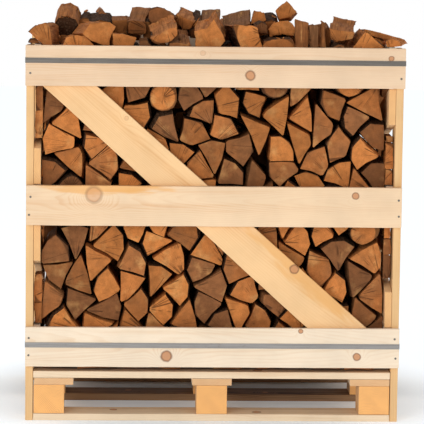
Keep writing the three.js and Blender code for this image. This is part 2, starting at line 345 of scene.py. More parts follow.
def timberMaterial(look):
    colours, knots, heartwood = timberLooks[look]
    material, tree = newMaterial(look + "Timber", {})
    place = readAttribute(tree, "boardPlace")
    pale, grain, end = timberColours[colours]
    tones = {"Pale": pale, "Grain": grain, "End colour": end, "Heart": timber["heart"],
             "Knot colour": timber["knot"]}
    bend, mask, rim = 0.0, 0.0, 0.0
    for along, across, size, *strength in knots:
        bend, mask, rim = useGroup(tree, groups["knot"], {
            "Place": place, "Middle": (along * mm, across * mm, 0), "Size": size * mm,
            "Strength": strength[0] if strength else knotLook["strength"],
            "Bend": bend, "Mask": mask, "Rim": rim})[:3]
    inputs = {"Place": place, "Rings from": readAttribute(tree, "ringPlace"),
              "End": readAttribute(tree, "endGrain", "Fac"), "Ring width": timber["ringWidth"],
              "Grain strength": timber["innerGrain" if look == "palletInnerShaded" else "grain"],
              "Bend": bend, "Knot": mask, "Rim": rim, **{key: (*tone, 1) for key, tone in tones.items()}}
    if heartwood:
        along, across, length, width = (value * mm for value in heartwood)
        away = vectorMaths(tree, "SUBTRACT", place, (along, across, 0))
        away = vectorMaths(tree, "MULTIPLY", away, (1 / length, 1 / width, 0))
        ragged = maths(tree, "MULTIPLY", noiseAt(tree, place, 1.0, 3.0, stretch=(9.0, 60.0, 60.0)), 0.8)
        reach = maths(tree, "ADD", vectorMaths(tree, "LENGTH", away), ragged)
        inputs["Heartwood"] = ramp(tree, reach, 0.8, 1.08, 1.0, 0.0)
    made = useGroup(tree, groups["timber"], inputs)
    return finishMaterial(material, made["Colour"], made["Roughness"], made["Height"], "timber")


def boardAxes(bm):
    # along the longest edge, through the thinnest way, and across the two
    longest = max(bm.edges, key=lambda edge: edge.calc_length())
    along = (longest.verts[1].co - longest.verts[0].co).normalized()
    if max(along, key=abs) < 0:
        along.negate()
    corners = np.array([v.co for v in bm.verts])
    extent = corners.max(0) - corners.min(0)
    square = [axis for axis in range(3) if abs(along[axis]) < 0.1]
    thin = min(square, key=lambda axis: extent[axis])
    through = Vector([float(axis == thin) for axis in range(3)])
    across = through.cross(along)
    if max(across, key=abs) < 0:
        across.negate()
    return along, across, through, Vector((corners.max(0) + corners.min(0)) / 2)


sawnBoards = {
    "edgeRound": 1.3 * mm, # every edge is eased by this much
    "sliceLength": 38 * mm,
    "edgeWander": 1.6 * mm, # how far a long edge strays inwards
    "faceWander": 0.5 * mm,
    "woodFarFromPith": 0.10,
}


def cleanMesh(name):
    # one of the frame's solids, with each flat face in one piece
    bm = bmesh.new()
    bm.from_mesh(nodes[name].data)
    bmesh.ops.remove_doubles(bm, verts=bm.verts[:], dist=0.02 * mm)
    bmesh.ops.dissolve_limit(bm, angle_limit=math.radians(2), verts=bm.verts[:], edges=bm.edges[:])
    return bm


def easeEdges(bm, offset):
    bmesh.ops.bevel(bm, geom=bm.edges[:], offset=offset, offset_type="OFFSET", affect="EDGES", segments=2,
                    profile=0.5, material=-1)


def cutAcross(bm, place, direction, dist=0.0):
    bmesh.ops.bisect_plane(bm, geom=bm.verts[:] + bm.edges[:] + bm.faces[:], dist=dist, plane_co=place,
                           plane_no=direction)


def makeBoard(name, material, rng, wane):
    bm = cleanMesh(name)
    along, across, through, middle = boardAxes(bm)
    easeEdges(bm, sawnBoards["edgeRound"])
    reach = max(abs((v.co - middle).dot(along)) for v in bm.verts)
    half = max(abs((v.co - middle).dot(across)) for v in bm.verts)
    depth = max(abs((v.co - middle).dot(through)) for v in bm.verts)
    position = -reach + rng.uniform(0.3, 1.0) * sawnBoards["sliceLength"]
    while position < reach:
        cutAcross(bm, middle + along * position, along, 0.01 * mm)
        position += sawnBoards["sliceLength"] * rng.uniform(0.8, 1.2)

    placeLayer = bm.verts.layers.float_vector.new("boardPlace")
    ringLayer = bm.verts.layers.float_vector.new("ringPlace")
    endLayer = bm.faces.layers.float.new("endGrain")
    seed = Vector((rng.uniform(-40, 40), rng.uniform(-40, 40), rng.uniform(-40, 40)))
    pithAcross = rng.uniform(-0.6, 0.6) * half
    pithThrough = rng.choice((-1, 1)) * rng.uniform(0.3, 1.0) * sawnBoards["woodFarFromPith"]
    slopeAcross = rng.uniform(-0.03, 0.03)
    slopeThrough = rng.uniform(-0.05, 0.05)
    waneSide = rng.choice((-1, 1))
    for vert in bm.verts:
        away = vert.co - middle
        a, c, t = away.dot(along), away.dot(across), away.dot(through)
        vert[placeLayer] = (a, c, t)
        vert[ringLayer] = (a + seed.x, c - pithAcross - slopeAcross * a, t - pithThrough - slopeThrough * a)
        side = math.copysign(1, c)
        edge = 0.5 + 0.5 * noise.noise(Vector((a * 7, side * 5, seed.x)))
        edge += 0.35 * noise.noise(Vector((a * 38, side * 5, seed.y)))
        inwards = sawnBoards["edgeWander"] * max(edge, 0.0)
        if wane and side == waneSide:
            bark = max(noise.noise(Vector((a * 3.2, seed.z, 0))) + 0.25, 0.0)
            inwards += wane * bark * (0.55 + 0.45 * math.copysign(1, t))
        face = sawnBoards["faceWander"] * (0.5 + 0.5 * noise.noise(Vector((a * 5, c * 9, seed.z))))
        if abs(c) > half * 0.5:
            vert.co -= across * side * inwards
        if abs(t) > depth * 0.5:
            vert.co -= through * math.copysign(face, t)
    for sawn in bm.faces:
        sawn[endLayer] = float(abs(sawn.normal.dot(along)) > 0.75)
    return finishPiece(bm, name.replace("_", "-") + "-timber", [material], [name])


def finishPiece(bm, name, materials, replaced, smooth=False):
    if smooth is not None: # None keeps what each face says
        for face in bm.faces:
            face.smooth = smooth
    mesh = bpy.data.meshes.new(name)
    bm.to_mesh(mesh)
    bm.free()
    for material in materials:
        mesh.materials.append(material)
    piece = bpy.data.objects.new(name, mesh)
    bpy.context.scene.collection.objects.link(piece)
    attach(piece, "root")
    if replaced:
        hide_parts(*replaced)
    return piece


# what a board's name has in it, its look, its slot and how wide a bark edge it may have
boardKinds = [
    ("pallet_block", "palletBlock", "pallet_block", 0),
    ("stringer", "palletBoard", "pallet_board", 9 * mm),
    # the pallet's inner boards take that dark look, which is painted shade
    ("pallet_", "palletInnerShaded", "pallet_board", 9 * mm),
    ("post_", "post", "post_timber", 0),
    ("_brace", "brace", "brace_timber", 2 * mm),
    ("", "slat", "slat_timber", 2 * mm),
]
ownLooks = {
    "front_slat_top": "frontTopSlat",
    "front_slat_middle": "frontMiddleSlat",
    "front_slat_bottom": "frontBottomSlat",
    "front_brace": "frontBrace",
    "pallet_deck_board_1": "palletBoard",
    "pallet_bottom_board_front": "palletBoard",
}


def makeTimber():
    rng = random.Random(seeds["timber"])
    materials = {look: timberMaterial(look) for look in timberLooks}
    made = 0
    for name in sorted(nodes):
        if name.startswith(("heap_log", "log_", "steel_band")):
            continue
        look, slot, wane = next(kind[1:] for kind in boardKinds if kind[0] in name)
        makeBoard(name, materials[ownLooks.get(name, look)], rng, wane)
        made += 1
    print("timber: boards and blocks made:", made)


def weatherGroup():
    # how grey and how dark a log is, from log to log and in patches over each one
    group, given, result = newGroup("weathering", {"Place": (0, 0, 0), "Tone": (0, 0, 0)},
                                    {"Grey": 0.0, "Shade": 0.0})
    tone = addNode(group, "ShaderNodeSeparateXYZ", {0: given["Tone"]}).outputs
    patches = noiseAt(group, given["Place"], 13.0, 3.0, 0.6)
    grey = maths(group, "MULTIPLY", patches, 0.9)
    grey = maths(group, "ADD", grey, maths(group, "MULTIPLY", tone[0], 0.75))
    mottle = noiseAt(group, given["Place"], 46.0, 4.0, 0.6)
    shade = maths(group, "ADD", maths(group, "MULTIPLY", tone[1], 0.46), 0.66)
    shade = maths(group, "MULTIPLY", shade, ramp(group, mottle, 0.25, 0.75, 0.78, 1.16))
    group.links.new(ramp(group, grey, 0.62, 1.15), result["Grey"])
    group.links.new(shade, result["Shade"])
    return group


logColours = {
    "fresh": (0.67, 0.235, 0.058, 1),
    "dull": (0.38, 0.122, 0.034, 1),
    "grey": (0.26, 0.112, 0.044, 1),
    "fibre": (0.42, 0.172, 0.058, 1),
    "pale": (0.82, 0.43, 0.15, 1),
    "dark": (0.055, 0.020, 0.007, 1),
    "bark": (0.085, 0.036, 0.016, 1),
    "barkGrey": (0.15, 0.085, 0.047, 1),
}


dryWood = {"Specular IOR Level": 0.15}


def readLog(tree):
    # where a point is in its log, the same moved so that no two logs match, the log's tone and its weathering
    place, tone = readAttribute(tree, "logPlace"), readAttribute(tree, "logTone")
    parts = addNode(tree, "ShaderNodeSeparateXYZ", {0: tone}).outputs
    shift = addNode(tree, "ShaderNodeCombineXYZ", {0: maths(tree, "MULTIPLY", parts[0], 31.0),
                                                   2: maths(tree, "MULTIPLY", parts[1], 17.0)}).outputs[0]
    seeded = vectorMaths(tree, "ADD", place, shift)
    return place, seeded, tone, parts, useGroup(tree, groups["weather"], {"Place": seeded, "Tone": tone})


def darken(tree, colour, masks):
    for mask, amount in masks:
        colour = blendColours(tree, maths(tree, "MULTIPLY", mask, amount), colour, logColours["dark"])
    return colour


def logEndMaterial():
    # the sawn end: faint rings, checks running out from the heart, dark spots and a dark rim under the bark
    material, tree = newMaterial("logEnd", dryWood)
    place, seeded, tone, toneParts, weather = readLog(tree)
    flat = vectorMaths(tree, "MULTIPLY", place, (1.0, 0.0, 1.0))
    radius = vectorMaths(tree, "LENGTH", flat)
    wave = maths(tree, "MULTIPLY", noiseAt(tree, seeded, 24.0, 2.0), 0.006)
    rings = maths(tree, "FRACT", maths(tree, "DIVIDE", maths(tree, "ADD", radius, wave), 0.0032))
    rings = maths(tree, "MULTIPLY", ramp(tree, rings, 0.2, 0.8), ramp(tree, rings, 0.85, 1.0, 1.0, 0.0))
    heading = vectorMaths(tree, "ADD", vectorMaths(tree, "NORMALIZE", flat), tone)
    turns = noiseAt(tree, heading, 2.6, 3.0, 0.6)
    width = maths(tree, "DIVIDE", 0.00055, maths(tree, "MAXIMUM", radius, 0.012))
    cracks = maths(tree, "ABSOLUTE", maths(tree, "SUBTRACT", turns, 0.5))
    cracks = ramp(tree, maths(tree, "DIVIDE", cracks, width), 0.5, 1.6, 1.0, 0.0)
    cracks = maths(tree, "MULTIPLY", cracks, ramp(tree, noiseAt(tree, seeded, 21.0, 1.0), 0.47, 0.56))
    spots = ramp(tree, noiseAt(tree, seeded, 30.0, 4.0, 0.65), 0.63, 0.74)
    fuzz = noiseAt(tree, place, 420.0, 3.0, 0.7)
    rim = maths(tree, "SUBTRACT", toneParts[2], radius)
    rim = maths(tree, "SUBTRACT", toneParts[2], radius)
    rim = maths(tree, "MULTIPLY", ramp(tree, rim, 0.0015, 0.006, 1.0, 0.0),
                ramp(tree, toneParts[2], 0.01, 0.02)) # none where the bark is gone

    colour = blendColours(tree, toneParts[0], logColours["fresh"], logColours["dull"])
    colour = blendColours(tree, maths(tree, "MULTIPLY", weather["Grey"], 0.7), colour, logColours["grey"])
    light = noiseAt(tree, seeded, 17.0, 3.0, 0.6)
    colour = blendColours(tree, ramp(tree, light, 0.52, 0.72, 0.0, 0.42), colour, logColours["pale"])
    colour = shadeColour(tree, colour, weather["Shade"])
    # the checks are darkened as well as sunk: painted shade in them
    colour = darken(tree, colour, ((rings, 0.16), (ramp(tree, fuzz, 0.4, 0.75), 0.25), (spots, 0.5),
                                   (cracks, 0.75), (rim, 0.72)))
    height = maths(tree, "SUBTRACT", maths(tree, "MULTIPLY", fuzz, 0.5), cracks)
    height = maths(tree, "SUBTRACT", height, maths(tree, "MULTIPLY", rings, 0.12))
    return finishMaterial(material, colour, ramp(tree, fuzz, 0.3, 0.7, 0.72, 0.9), height, "end")


def logSplitMaterial():
    # the riven faces: long fibres, torn paler here and there
    material, tree = newMaterial("logSplit", dryWood)
    _, seeded, _, toneParts, weather = readLog(tree)
    fibre = noiseAt(tree, seeded, 1.0, 5.0, 0.65, stretch=(190.0, 9.0, 190.0))
    strand = noiseAt(tree, seeded, 1.0, 3.0, 0.6, stretch=(60.0, 5.0, 60.0))
    torn = noiseAt(tree, seeded, 1.0, 4.0, 0.7, stretch=(110.0, 12.0, 110.0))
    colour = blendColours(tree, toneParts[0], logColours["fresh"], logColours["fibre"])
    colour = blendColours(tree, ramp(tree, strand, 0.35, 0.65, 0.0, 0.6), colour, logColours["dull"])
    colour = blendColours(tree, maths(tree, "MULTIPLY", weather["Grey"], 0.85), colour, logColours["grey"])
    colour = shadeColour(tree, colour, weather["Shade"])
    colour = blendColours(tree, ramp(tree, torn, 0.58, 0.74, 0.0, 0.6), colour, logColours["pale"])
    colour = darken(tree, colour, [(ramp(tree, fibre, 0.42, 0.7), 0.5)])
    height = maths(tree, "ADD", fibre, maths(tree, "MULTIPLY", strand, 0.8))
    return finishMaterial(material, colour, ramp(tree, fibre, 0.3, 0.7, 0.7, 0.88), height, "split")


def logBarkMaterial():
    material, tree = newMaterial("logBark", dryWood)
    place, seeded, _, _, weather = readLog(tree)
    bent = noiseAt(tree, place, 40.0, 3.0, output="Color")
    bent = vectorMaths(tree, "ADD", seeded, vectorMaths(tree, "MULTIPLY", bent, (0.014, 0.014, 0.014)))
    plates = addNode(tree, "ShaderNodeTexVoronoi", {
        "Vector": vectorMaths(tree, "MULTIPLY", bent, (85.0, 30.0, 85.0)), "Scale": 1.0},
        feature="DISTANCE_TO_EDGE").outputs["Distance"]
    furrows = ramp(tree, plates, 0.02, 0.22, 1.0, 0.0)
    flakes = noiseAt(tree, seeded, 90.0, 4.0, 0.7)
    colour = blendColours(tree, ramp(tree, flakes, 0.4, 0.66), logColours["bark"], logColours["barkGrey"])
    colour = blendColours(tree, maths(tree, "MULTIPLY", weather["Grey"], 0.5), colour, logColours["barkGrey"])
    colour = shadeColour(tree, colour, weather["Shade"])
    # the furrows are darkened as well as sunk: painted shade in them
    colour = darken(tree, colour, [(furrows, 0.75)])
    height = maths(tree, "SUBTRACT", maths(tree, "MULTIPLY", flakes, 0.5), furrows)
    return finishMaterial(material, colour, ramp(tree, flakes, 0.3, 0.7, 0.8, 0.95), height, "bark")


steel = {
    "bottom": ((0.262, 0.245, 0.228, 1), (0.366, 0.348, 0.33, 1)), # plain and worn
    # the top band's steel is darker than the bottom band's: painted shade; the nails use these colours too
    "top": ((0.136, 0.12, 0.103, 1), (0.21, 0.188, 0.165, 1)),
    "rust": (0.16, 0.09, 0.05, 1),
}
# the crimped seal that joins each band's ends, behind the crate
seal = {
    "length": 34 * mm,
    "thick": 2 * mm,
    "wider": 2.4 * mm, # than the band
    "crimps": 9 * mm,
    "waist": 0.9,
    "edgeRound": 0.4 * mm,
    "across": 120 * mm, # from the crate's middle
    "proud": 0.7 * mm,
}


def steelMaterial(name, plain, worn):
    material, tree = newMaterial(name, {"Metallic": 0.7})
    place = addNode(tree, "ShaderNodeTexCoord").outputs["Object"]
    rolled = noiseAt(tree, place, 1.0, 4.0, 0.6, stretch=(9.0, 9.0, 900.0))
    scuffs = noiseAt(tree, place, 30.0, 4.0, 0.7)
    colour = blendColours(tree, ramp(tree, rolled, 0.35, 0.7), plain, worn)
    colour = blendColours(tree, ramp(tree, scuffs, 0.6, 0.75, 0.0, 0.5), colour, steel["rust"])
    height = maths(tree, "MULTIPLY", rolled, 0.5)
    return finishMaterial(material, colour, ramp(tree, scuffs, 0.3, 0.7, 0.38, 0.55), height, "steel")


def makeBands():
    # the two bands keep their own shape
    for place in ("bottom", "top"):
        name = "steel_band_" + place
        coat = steelMaterial(place + "BandSteel", *steel[place])
        slots = nodes[name].data.materials
        slots.clear()
        slots.append(coat)
        low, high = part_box(name)
        bm = bmesh.new()
        bmesh.ops.create_cube(bm, size=1.0)
        size = (seal["length"], seal["thick"], (high.z - low.z) + seal["wider"])
        bmesh.ops.scale(bm, verts=bm.verts[:], vec=size)
        for x in (-seal["crimps"], 0.0, seal["crimps"]):
            cutAcross(bm, (x, 0, 0), (1, 0, 0))
        middleVerts = [vert for vert in bm.verts if abs(vert.co.x) < 1 * mm]
        bmesh.ops.scale(bm, verts=middleVerts, vec=(1, 1, seal["waist"]))
        easeEdges(bm, seal["edgeRound"])
        middle = (seal["across"], high.y + seal["proud"], (low.z + high.z) / 2)
        bmesh.ops.translate(bm, verts=bm.verts[:], vec=middle)
        finishPiece(bm, name.replace("_", "-") + "-seal", [coat], [])
    print("bands: finished")


nails = {
    "head": 3.4 * mm,
    "proud": 0.5 * mm,
    "depth": 4 * mm,
    "spread": 27 * mm,
    "fromBand": 5 * mm,
    # each wall's axis and side, and how far apart sideways its pairs are, as a share of the spread
    "walls": {"front": (0, -1, 0.0), "back": (0, 1, 0.0), "left": (1, -1, 0.7), "right": (1, 1, 0.7)},
}


def makeNails():
    # two nails where a board crosses a post: in the slats at the front and back, in the posts at the sides
    rng = random.Random(seeds["nails"])
    coat = steelMaterial("nailSteel", *steel["top"])
    bands = [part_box(name) for name in ("steel_band_bottom", "steel_band_top")]
    bm = bmesh.new()
    count = 0
    for wall, (axis, sign, sideways) in nails["walls"].items():
        turn = Matrix.Rotation(math.radians(90), 4, "XY"[axis])
        outwards = Vector((axis, 1 - axis, 0)) * sign
        ends = ("front", "back") if axis else ("left", "right")
        for level, end, step in itertools.product(("bottom", "middle", "top"), ends, (-1, 1)):
            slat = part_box(f"{wall}_slat_{level}")
            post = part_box(f"post_{end}_{wall}" if axis else f"post_{wall}_{end}")
            place = Vector((post if axis else slat)[sign > 0])
            place[axis] = ((post[0][axis] + post[1][axis]) / 2 + step * nails["spread"] * sideways
                           + rng.uniform(-3, 3) * mm)
            place.z = (slat[0].z + slat[1].z) / 2 + step * nails["spread"] + rng.uniform(-5, 5) * mm
            if any(low.z < place.z + nails["fromBand"] and place.z - nails["fromBand"] < high.z
                   for low, high in bands):
                continue
            addNail(bm, Matrix.Translation(place) @ turn, outwards)
            count += 1
    finishPiece(bm, "nail-heads", [coat], [])
    print("nails driven:", count)


def addNail(bm, place, outwards):
    made = bmesh.ops.create_cone(bm, cap_ends=True, segments=12, radius1=nails["head"], radius2=nails["head"],
                                 depth=nails["depth"], matrix=place)["verts"]
    bmesh.ops.translate(bm, verts=made, vec=outwards * (nails["proud"] - nails["depth"] / 2))


# share of the pile, radius of the round, angle of the wedge, radius where its point is split off, and whether
# its bark is left on
splitKinds = [
    (0.49, (80, 122), (44, 92), (0, 0), True),
    (0.21, (98, 136), (36, 66), (30, 58), True),
    (0.07, (44, 60), (150, 176), (0, 0), True),
    (0.19, (84, 116), (50, 96), (0, 34), False),
    (0.04, (34, 44), (360, 360), (0, 0), True),
]
splitShape = {
    "arcStep": 26, # degrees of bark from one corner to the next
    "ragged": 0.03,
    "coreStray": 0.14,
    "coreSkew": (0.85, 1.12),
    "leastCore": 12,
    "bulge": 0.05, # of a split face, as a share of its width
    "cornerStart": 5.0, # how far from a sharp corner its rounding starts
}
stack = {
    "cell": 2.0, # the stacking works on columns and cells this wide, in millimetres
    "clearance": 1.2,
    "endArea": (4600, 11500), # square millimetres
    "shapes": (70, 20), # how many outlines there are, and how many turns of each
    "tries": 110, # logs looked over before each one is laid
    "deepestGap": 40,
    "levelling": 0.009, # how much lower places are preferred
    "growth": 0.025, # of a log each time it grows into the gaps
    "growths": 6,
    "growMoves": 5, # ways a log may move as it grows
    "cornerGrowth": 3.0,
    "cornerGrowths": 3,
    "topGap": {"front": 36, "middle": 8, "back": 8}, # left free at the top of each row
}


def splitOutline(rng, radius, spread, core, barkLeft):
    # round a split log's end, with the ring centre at the origin and the bark upwards
    half = math.radians(spread) / 2
    steps = max(1, round(spread / splitShape["arcStep"]))
    fullRound = spread > 300
    arc = []
    for step in range(steps if fullRound else steps + 1):
        angle = math.pi / 2 - half + 2 * half * step / steps
        r = radius * (1 + splitShape["ragged"] * rng.uniform(-1, 1))
        arc.append((r * math.cos(angle), r * math.sin(angle)))
    if fullRound:
        return np.array(arc), [True] * len(arc)
    inner = [(0.0, 0.0)]
    if core > 0:
        stray = splitShape["coreStray"] * (radius - core)
        inner = [(side * core * math.sin(half) * rng.uniform(*splitShape["coreSkew"]),
                  core * math.cos(half) + stray * rng.uniform(-1, 1)) for side in (-1, 1)]
    corners = [arc[-1], *inner, arc[0]]
    points, bark = list(arc[1:-1]), [True] * (len(arc) - 2)
    if not barkLeft:
        corners.append(arc[-1])
        points, bark = [], []
    corner = splitShape["cornerStart"]
    for start, end in zip(corners, corners[1:]):
        span = math.dist(start, end)
        across = ((end[1] - start[1]) / span, (start[0] - end[0]) / span)
        shares = [min(corner / span, 0.3)] + [0.5] * (span > 9 * corner) + [max(1 - corner / span, 0.7)]
        for share in shares:
            bulge = splitShape["bulge"] * span * rng.uniform(-1, 1) * (share == 0.5)
            points.append((start[0] + (end[0] - start[0]) * share + across[0] * bulge,
                           start[1] + (end[1] - start[1]) * share + across[1] * bulge))
            bark.append(False)
    if barkLeft: # the bark runs on to the first points round its two corners
        bark[len(arc) - 2] = bark[-1] = True
    return np.array(points), bark


def areaAndMiddle(points):
    x, z = points[:, 0], points[:, 1]
    nextX, nextZ = np.roll(x, -1), np.roll(z, -1)
    cross = x * nextZ - nextX * z
    area = cross.sum() / 2
    return abs(area), np.array([((x + nextX) * cross).sum(), ((z + nextZ) * cross).sum()]) / (6 * area)


def columnProfile(points):
    # left edge, and the lowest and highest point in each column, with the clearance added
    cell, clearance = stack["cell"], stack["clearance"]
    x, z = points[:, 0], points[:, 1]
    left = x.min() - clearance
    count = math.ceil((x.max() + clearance - left) / cell)
    columns = np.clip(left + np.arange(count + 1) * cell, x.min() + 1e-6, x.max() - 1e-6)[None, :]
    xa, za = x[:, None], z[:, None]
    xb, zb = np.roll(x, -1)[:, None], np.roll(z, -1)[:, None]
    crosses = (columns - xa) * (columns - xb) <= 0
    at = za + (zb - za) * (columns - xa) / np.where(xb == xa, 1e-9, xb - xa)
    low = np.where(crosses, at, np.inf).min(0)
    high = np.where(crosses, at, -np.inf).max(0)
    return left, np.minimum(low[:-1], low[1:]) - clearance, np.maximum(high[:-1], high[1:]) + clearance


def makeOutlines(rng, shapes, turns, areas):
    made = []
    while len(made) < shapes * turns:
        _, radii, spreads, cores, barkLeft = rng.choices(splitKinds, [kind[0] for kind in splitKinds])[0]
        radius, core = rng.uniform(*radii), rng.uniform(*cores)
        core = core if core > splitShape["leastCore"] else 0
        points, bark = splitOutline(rng, radius, rng.uniform(*spreads), core, barkLeft)
        area, middle = areaAndMiddle(points)
        if areas[1] < stack["endArea"][0]: # a smaller log of the same shape
            shrink = math.sqrt(rng.uniform(*areas) / area)
            points, middle = points * shrink, middle * shrink
            radius, area = radius * shrink, area * shrink ** 2
        if not areas[0] < area < areas[1]:
            continue
        for _ in range(turns):
            angle = rng.uniform(0, 2 * math.pi)
            turn = np.array([[math.cos(angle), math.sin(angle)], [-math.sin(angle), math.cos(angle)]])
            placed = (points - middle) @ turn
            made.append({"points": placed, "bark": bark, "pith": -middle @ turn, "area": area,
                         "radius": radius if barkLeft else 0.0, "profile": columnProfile(placed)})
    return made


def stackRow(rng, outlines, width, height):
    # lays logs one by one, each the one that leaves the least gap under it
    cell = stack["cell"]
    skyline = np.zeros(int(width / cell))
    laid = []
    while True:
        best, level = None, np.percentile(skyline, 10)
        for outline in rng.sample(outlines, stack["tries"]):
            left, low, high = outline["profile"]
            under = sliding_window_view(skyline, len(low))
            rest = (under - low).max(1)
            gap = np.minimum(rest[:, None] + low - under, stack["deepestGap"]).sum(1) * cell
            cost = gap / outline["area"] + stack["levelling"] * (rest - level)
            cost[rest + high.max() > height] = np.inf
            spot = int(cost.argmin())
            if math.isfinite(cost[spot]) and (best is None or cost[spot] < best[0]):
                best = (cost[spot], spot, rest[spot], outline)
        if best is None:
            return laid, skyline
        _, spot, rest, outline = best
        left, _, high = outline["profile"]
        span = slice(spot, spot + len(high))
        skyline[span] = np.maximum(skyline[span], rest + high)
        shift = np.array([spot * cell - left - width / 2, rest])
        laid.append({**outline, "points": outline["points"] + shift, "pith": outline["pith"] + shift})


def outlineCells(points, width, height):
    # the cells inside an outline, and those cells with one more all round
    cell, pad = stack["cell"], 5
    columns = slice(int((points[:, 0].min() + width / 2) / cell) + pad - 1,
                    int((points[:, 0].max() + width / 2) / cell) + pad + 2)
    rows = slice(int(points[:, 1].min() / cell) + pad - 1, int(points[:, 1].max() / cell) + pad + 2)
    x, z = points[:, 0], points[:, 1]
    nextX, nextZ = np.roll(x, -1), np.roll(z, -1)
    if x.min() < -width / 2 or x.max() > width / 2 or z.min() < 0 or z.max() > height:
        return None
    atX = (np.arange(columns.start, columns.stop) - pad + 0.5) * cell - width / 2
    atZ = (np.arange(rows.start, rows.stop) - pad + 0.5) * cell
    spans = (z[:, None] > atZ) != (nextZ[:, None] > atZ)
    slope = (nextX - x) / np.where(nextZ == z, 1e-9, nextZ - z)
    crossing = x[:, None] + slope[:, None] * (atZ - z[:, None])
    inside = (spans[:, :, None] & (atX < crossing[:, :, None])).sum(0) % 2 == 1
    fat = inside.copy()
    fat[1:] |= inside[:-1]
    fat[:-1] |= inside[1:]
    fat[:, 1:] |= inside[:, :-1]
    fat[:, :-1] |= inside[:, 1:]
    return rows, columns, inside, fat


def growLogs(rng, laid, width, height):
    # swells each log, and then its corners, into the gaps that the stacking left
    cell = stack["cell"]
    owner = np.full((int(height / cell) + 12, int(width / cell) + 12), -1, np.int16)

    def fits(points, index):
        found = outlineCells(points, width, height)
        if found is None:
            return False
        near = owner[found[0], found[1]][found[3]]
        return not ((near >= 0) & (near != index)).any()

    def mark(points, index):
        found = outlineCells(points, width, height)
        if found:
            owner[found[0], found[1]][found[2]] = index

    for index, log in enumerate(laid):
        mark(log["points"], index)
    for index, log in enumerate(laid):
        points, pith = log["points"], log["pith"]
        owner[owner == index] = -1
        for _ in range(stack["growths"]):
            middle = points.mean(0)
            angles = [rng.uniform(0, 2 * math.pi) for _ in range(stack["growMoves"])]
            for move in [(0, 0)] + [(math.cos(angle), math.sin(angle)) for angle in angles]:
                shift = middle + cell * np.array(move)
                grown = (points - middle) * (1 + stack["growth"]) + shift
                if fits(grown, index):
                    points, pith = grown, (pith - middle) * (1 + stack["growth"]) + shift
                    break
            else:
                break
        middle = points.mean(0)
        for corner in rng.sample(range(len(points)), len(points)):
            outwards = points[corner] - middle
            outwards *= stack["cornerGrowth"] / np.linalg.norm(outwards)
            for _ in range(stack["cornerGrowths"]):
                grown = points.copy()
                grown[corner] += outwards
                grown[corner - 1] += outwards / 2
                grown[(corner + 1) % len(points)] += outwards / 2
                if not fits(grown, index):
                    break
                points = grown
        mark(points, index)
        log["points"], log["pith"] = points, pith


def newPile():
    pile = bmesh.new()
    pile.verts.layers.float_vector.new("logPlace")
    pile.verts.layers.float_vector.new("logTone")
    return pile


def addToPile(pile, bm):
    scratch = bpy.data.meshes.new("scratch")
    bm.to_mesh(scratch)
    bm.free()
    pile.from_mesh(scratch)
    bpy.data.meshes.remove(scratch)


def addLog(pile, outline, bark, pith, radius, sections, place, rng):
    # outline and pith are in metres in the log's own end plane, and the log runs along its own Y
    # sections are (y, scale, (shift x, shift z), (lean x, lean z)) from the front end to the back end
    bm = bmesh.new()
    placeLayer = bm.verts.layers.float_vector.new("logPlace")
    toneLayer = bm.verts.layers.float_vector.new("logTone")
    cornerLayer = bm.verts.layers.int.new("corner")
    ring = [bm.verts.new((x, 0, z)) for x, z in outline]
    for corner, vert in enumerate(ring):
        vert[cornerLayer] = corner
    end = bm.faces.new(ring)
    rings = [ring]
    for _ in sections[1:]:
        made = bmesh.ops.extrude_face_region(bm, geom=[end])["geom"]
        end = next(item for item in made if isinstance(item, bmesh.types.BMFace))
        ring = [item for item in made if isinstance(item, bmesh.types.BMVert)]
        rings.append(sorted(ring, key=lambda vert: vert[cornerLayer]))
    middle = outline.mean(0)
    tone = (rng.random(), rng.random(), radius)
    along = rng.uniform(-20, 20)
    for ring, (y, scale, shift, lean) in zip(rings, sections):
        for vert, point in zip(ring, outline):
            inwards = scale * (1 - rng.uniform(0, 0.03))
            x = middle[0] + (point[0] - middle[0]) * inwards + shift[0]
            z = middle[1] + (point[1] - middle[1]) * inwards + shift[1]
            atY = y + lean[0] * (point[0] - middle[0]) + lean[1] * (point[1] - middle[1])
            vert.co = (x, atY, z)
            vert[placeLayer] = (x - pith[0], atY + along, z - pith[1])
            vert[toneLayer] = tone
    for face in bm.faces:
        onBark = [bark[vert[cornerLayer]] for vert in face.verts]
        face.material_index = 0 if len(onBark) == len(outline) else 2 if all(onBark) else 1
    bmesh.ops.recalc_face_normals(bm, faces=bm.faces[:])
    bm.verts.layers.int.remove(cornerLayer)
    bm.transform(place)
    addToPile(pile, bm)


rowEnds = {
    "narrowest": 0.86, # a log's end, as a share of its thick part
    "narrows": (28, 60), # over this much of its length
    "waist": 0.985,
    "offCentre": 40,
    "lean": 0.08,
    "setBack": 20, # at most, at the front
    "short": 14, # at most, at the back
    "margin": 4,
}


def stackedSections(rng, length):
    def endSection(y, scale):
        slack, lean = (1 - scale) * rowEnds["offCentre"] * mm, rowEnds["lean"]
        shift = (rng.uniform(-1, 1) * slack, rng.uniform(-1, 1) * slack)
        return y, scale, shift, (rng.uniform(-lean, lean), rng.uniform(-lean, lean))

    front, back = rng.uniform(rowEnds["narrowest"], 1.0), rng.uniform(rowEnds["narrowest"], 1.0)
    setBack = rowEnds["setBack"] * mm * rng.random() ** 1.6
    short = rowEnds["short"] * mm * rng.random()
    margin = rowEnds["margin"] * mm
    start, stop = -length / 2 + margin + setBack, length / 2 - margin - short
    return [
        endSection(start, front),
        (start + rng.uniform(*rowEnds["narrows"]) * mm, 1.0, (0, 0), (0, 0)),
        ((start + stop) / 2, rowEnds["waist"], (0, 0), (0, 0)),
        (stop - rng.uniform(*rowEnds["narrows"]) * mm, 1.0, (0, 0), (0, 0)),
        endSection(stop, back),
    ]


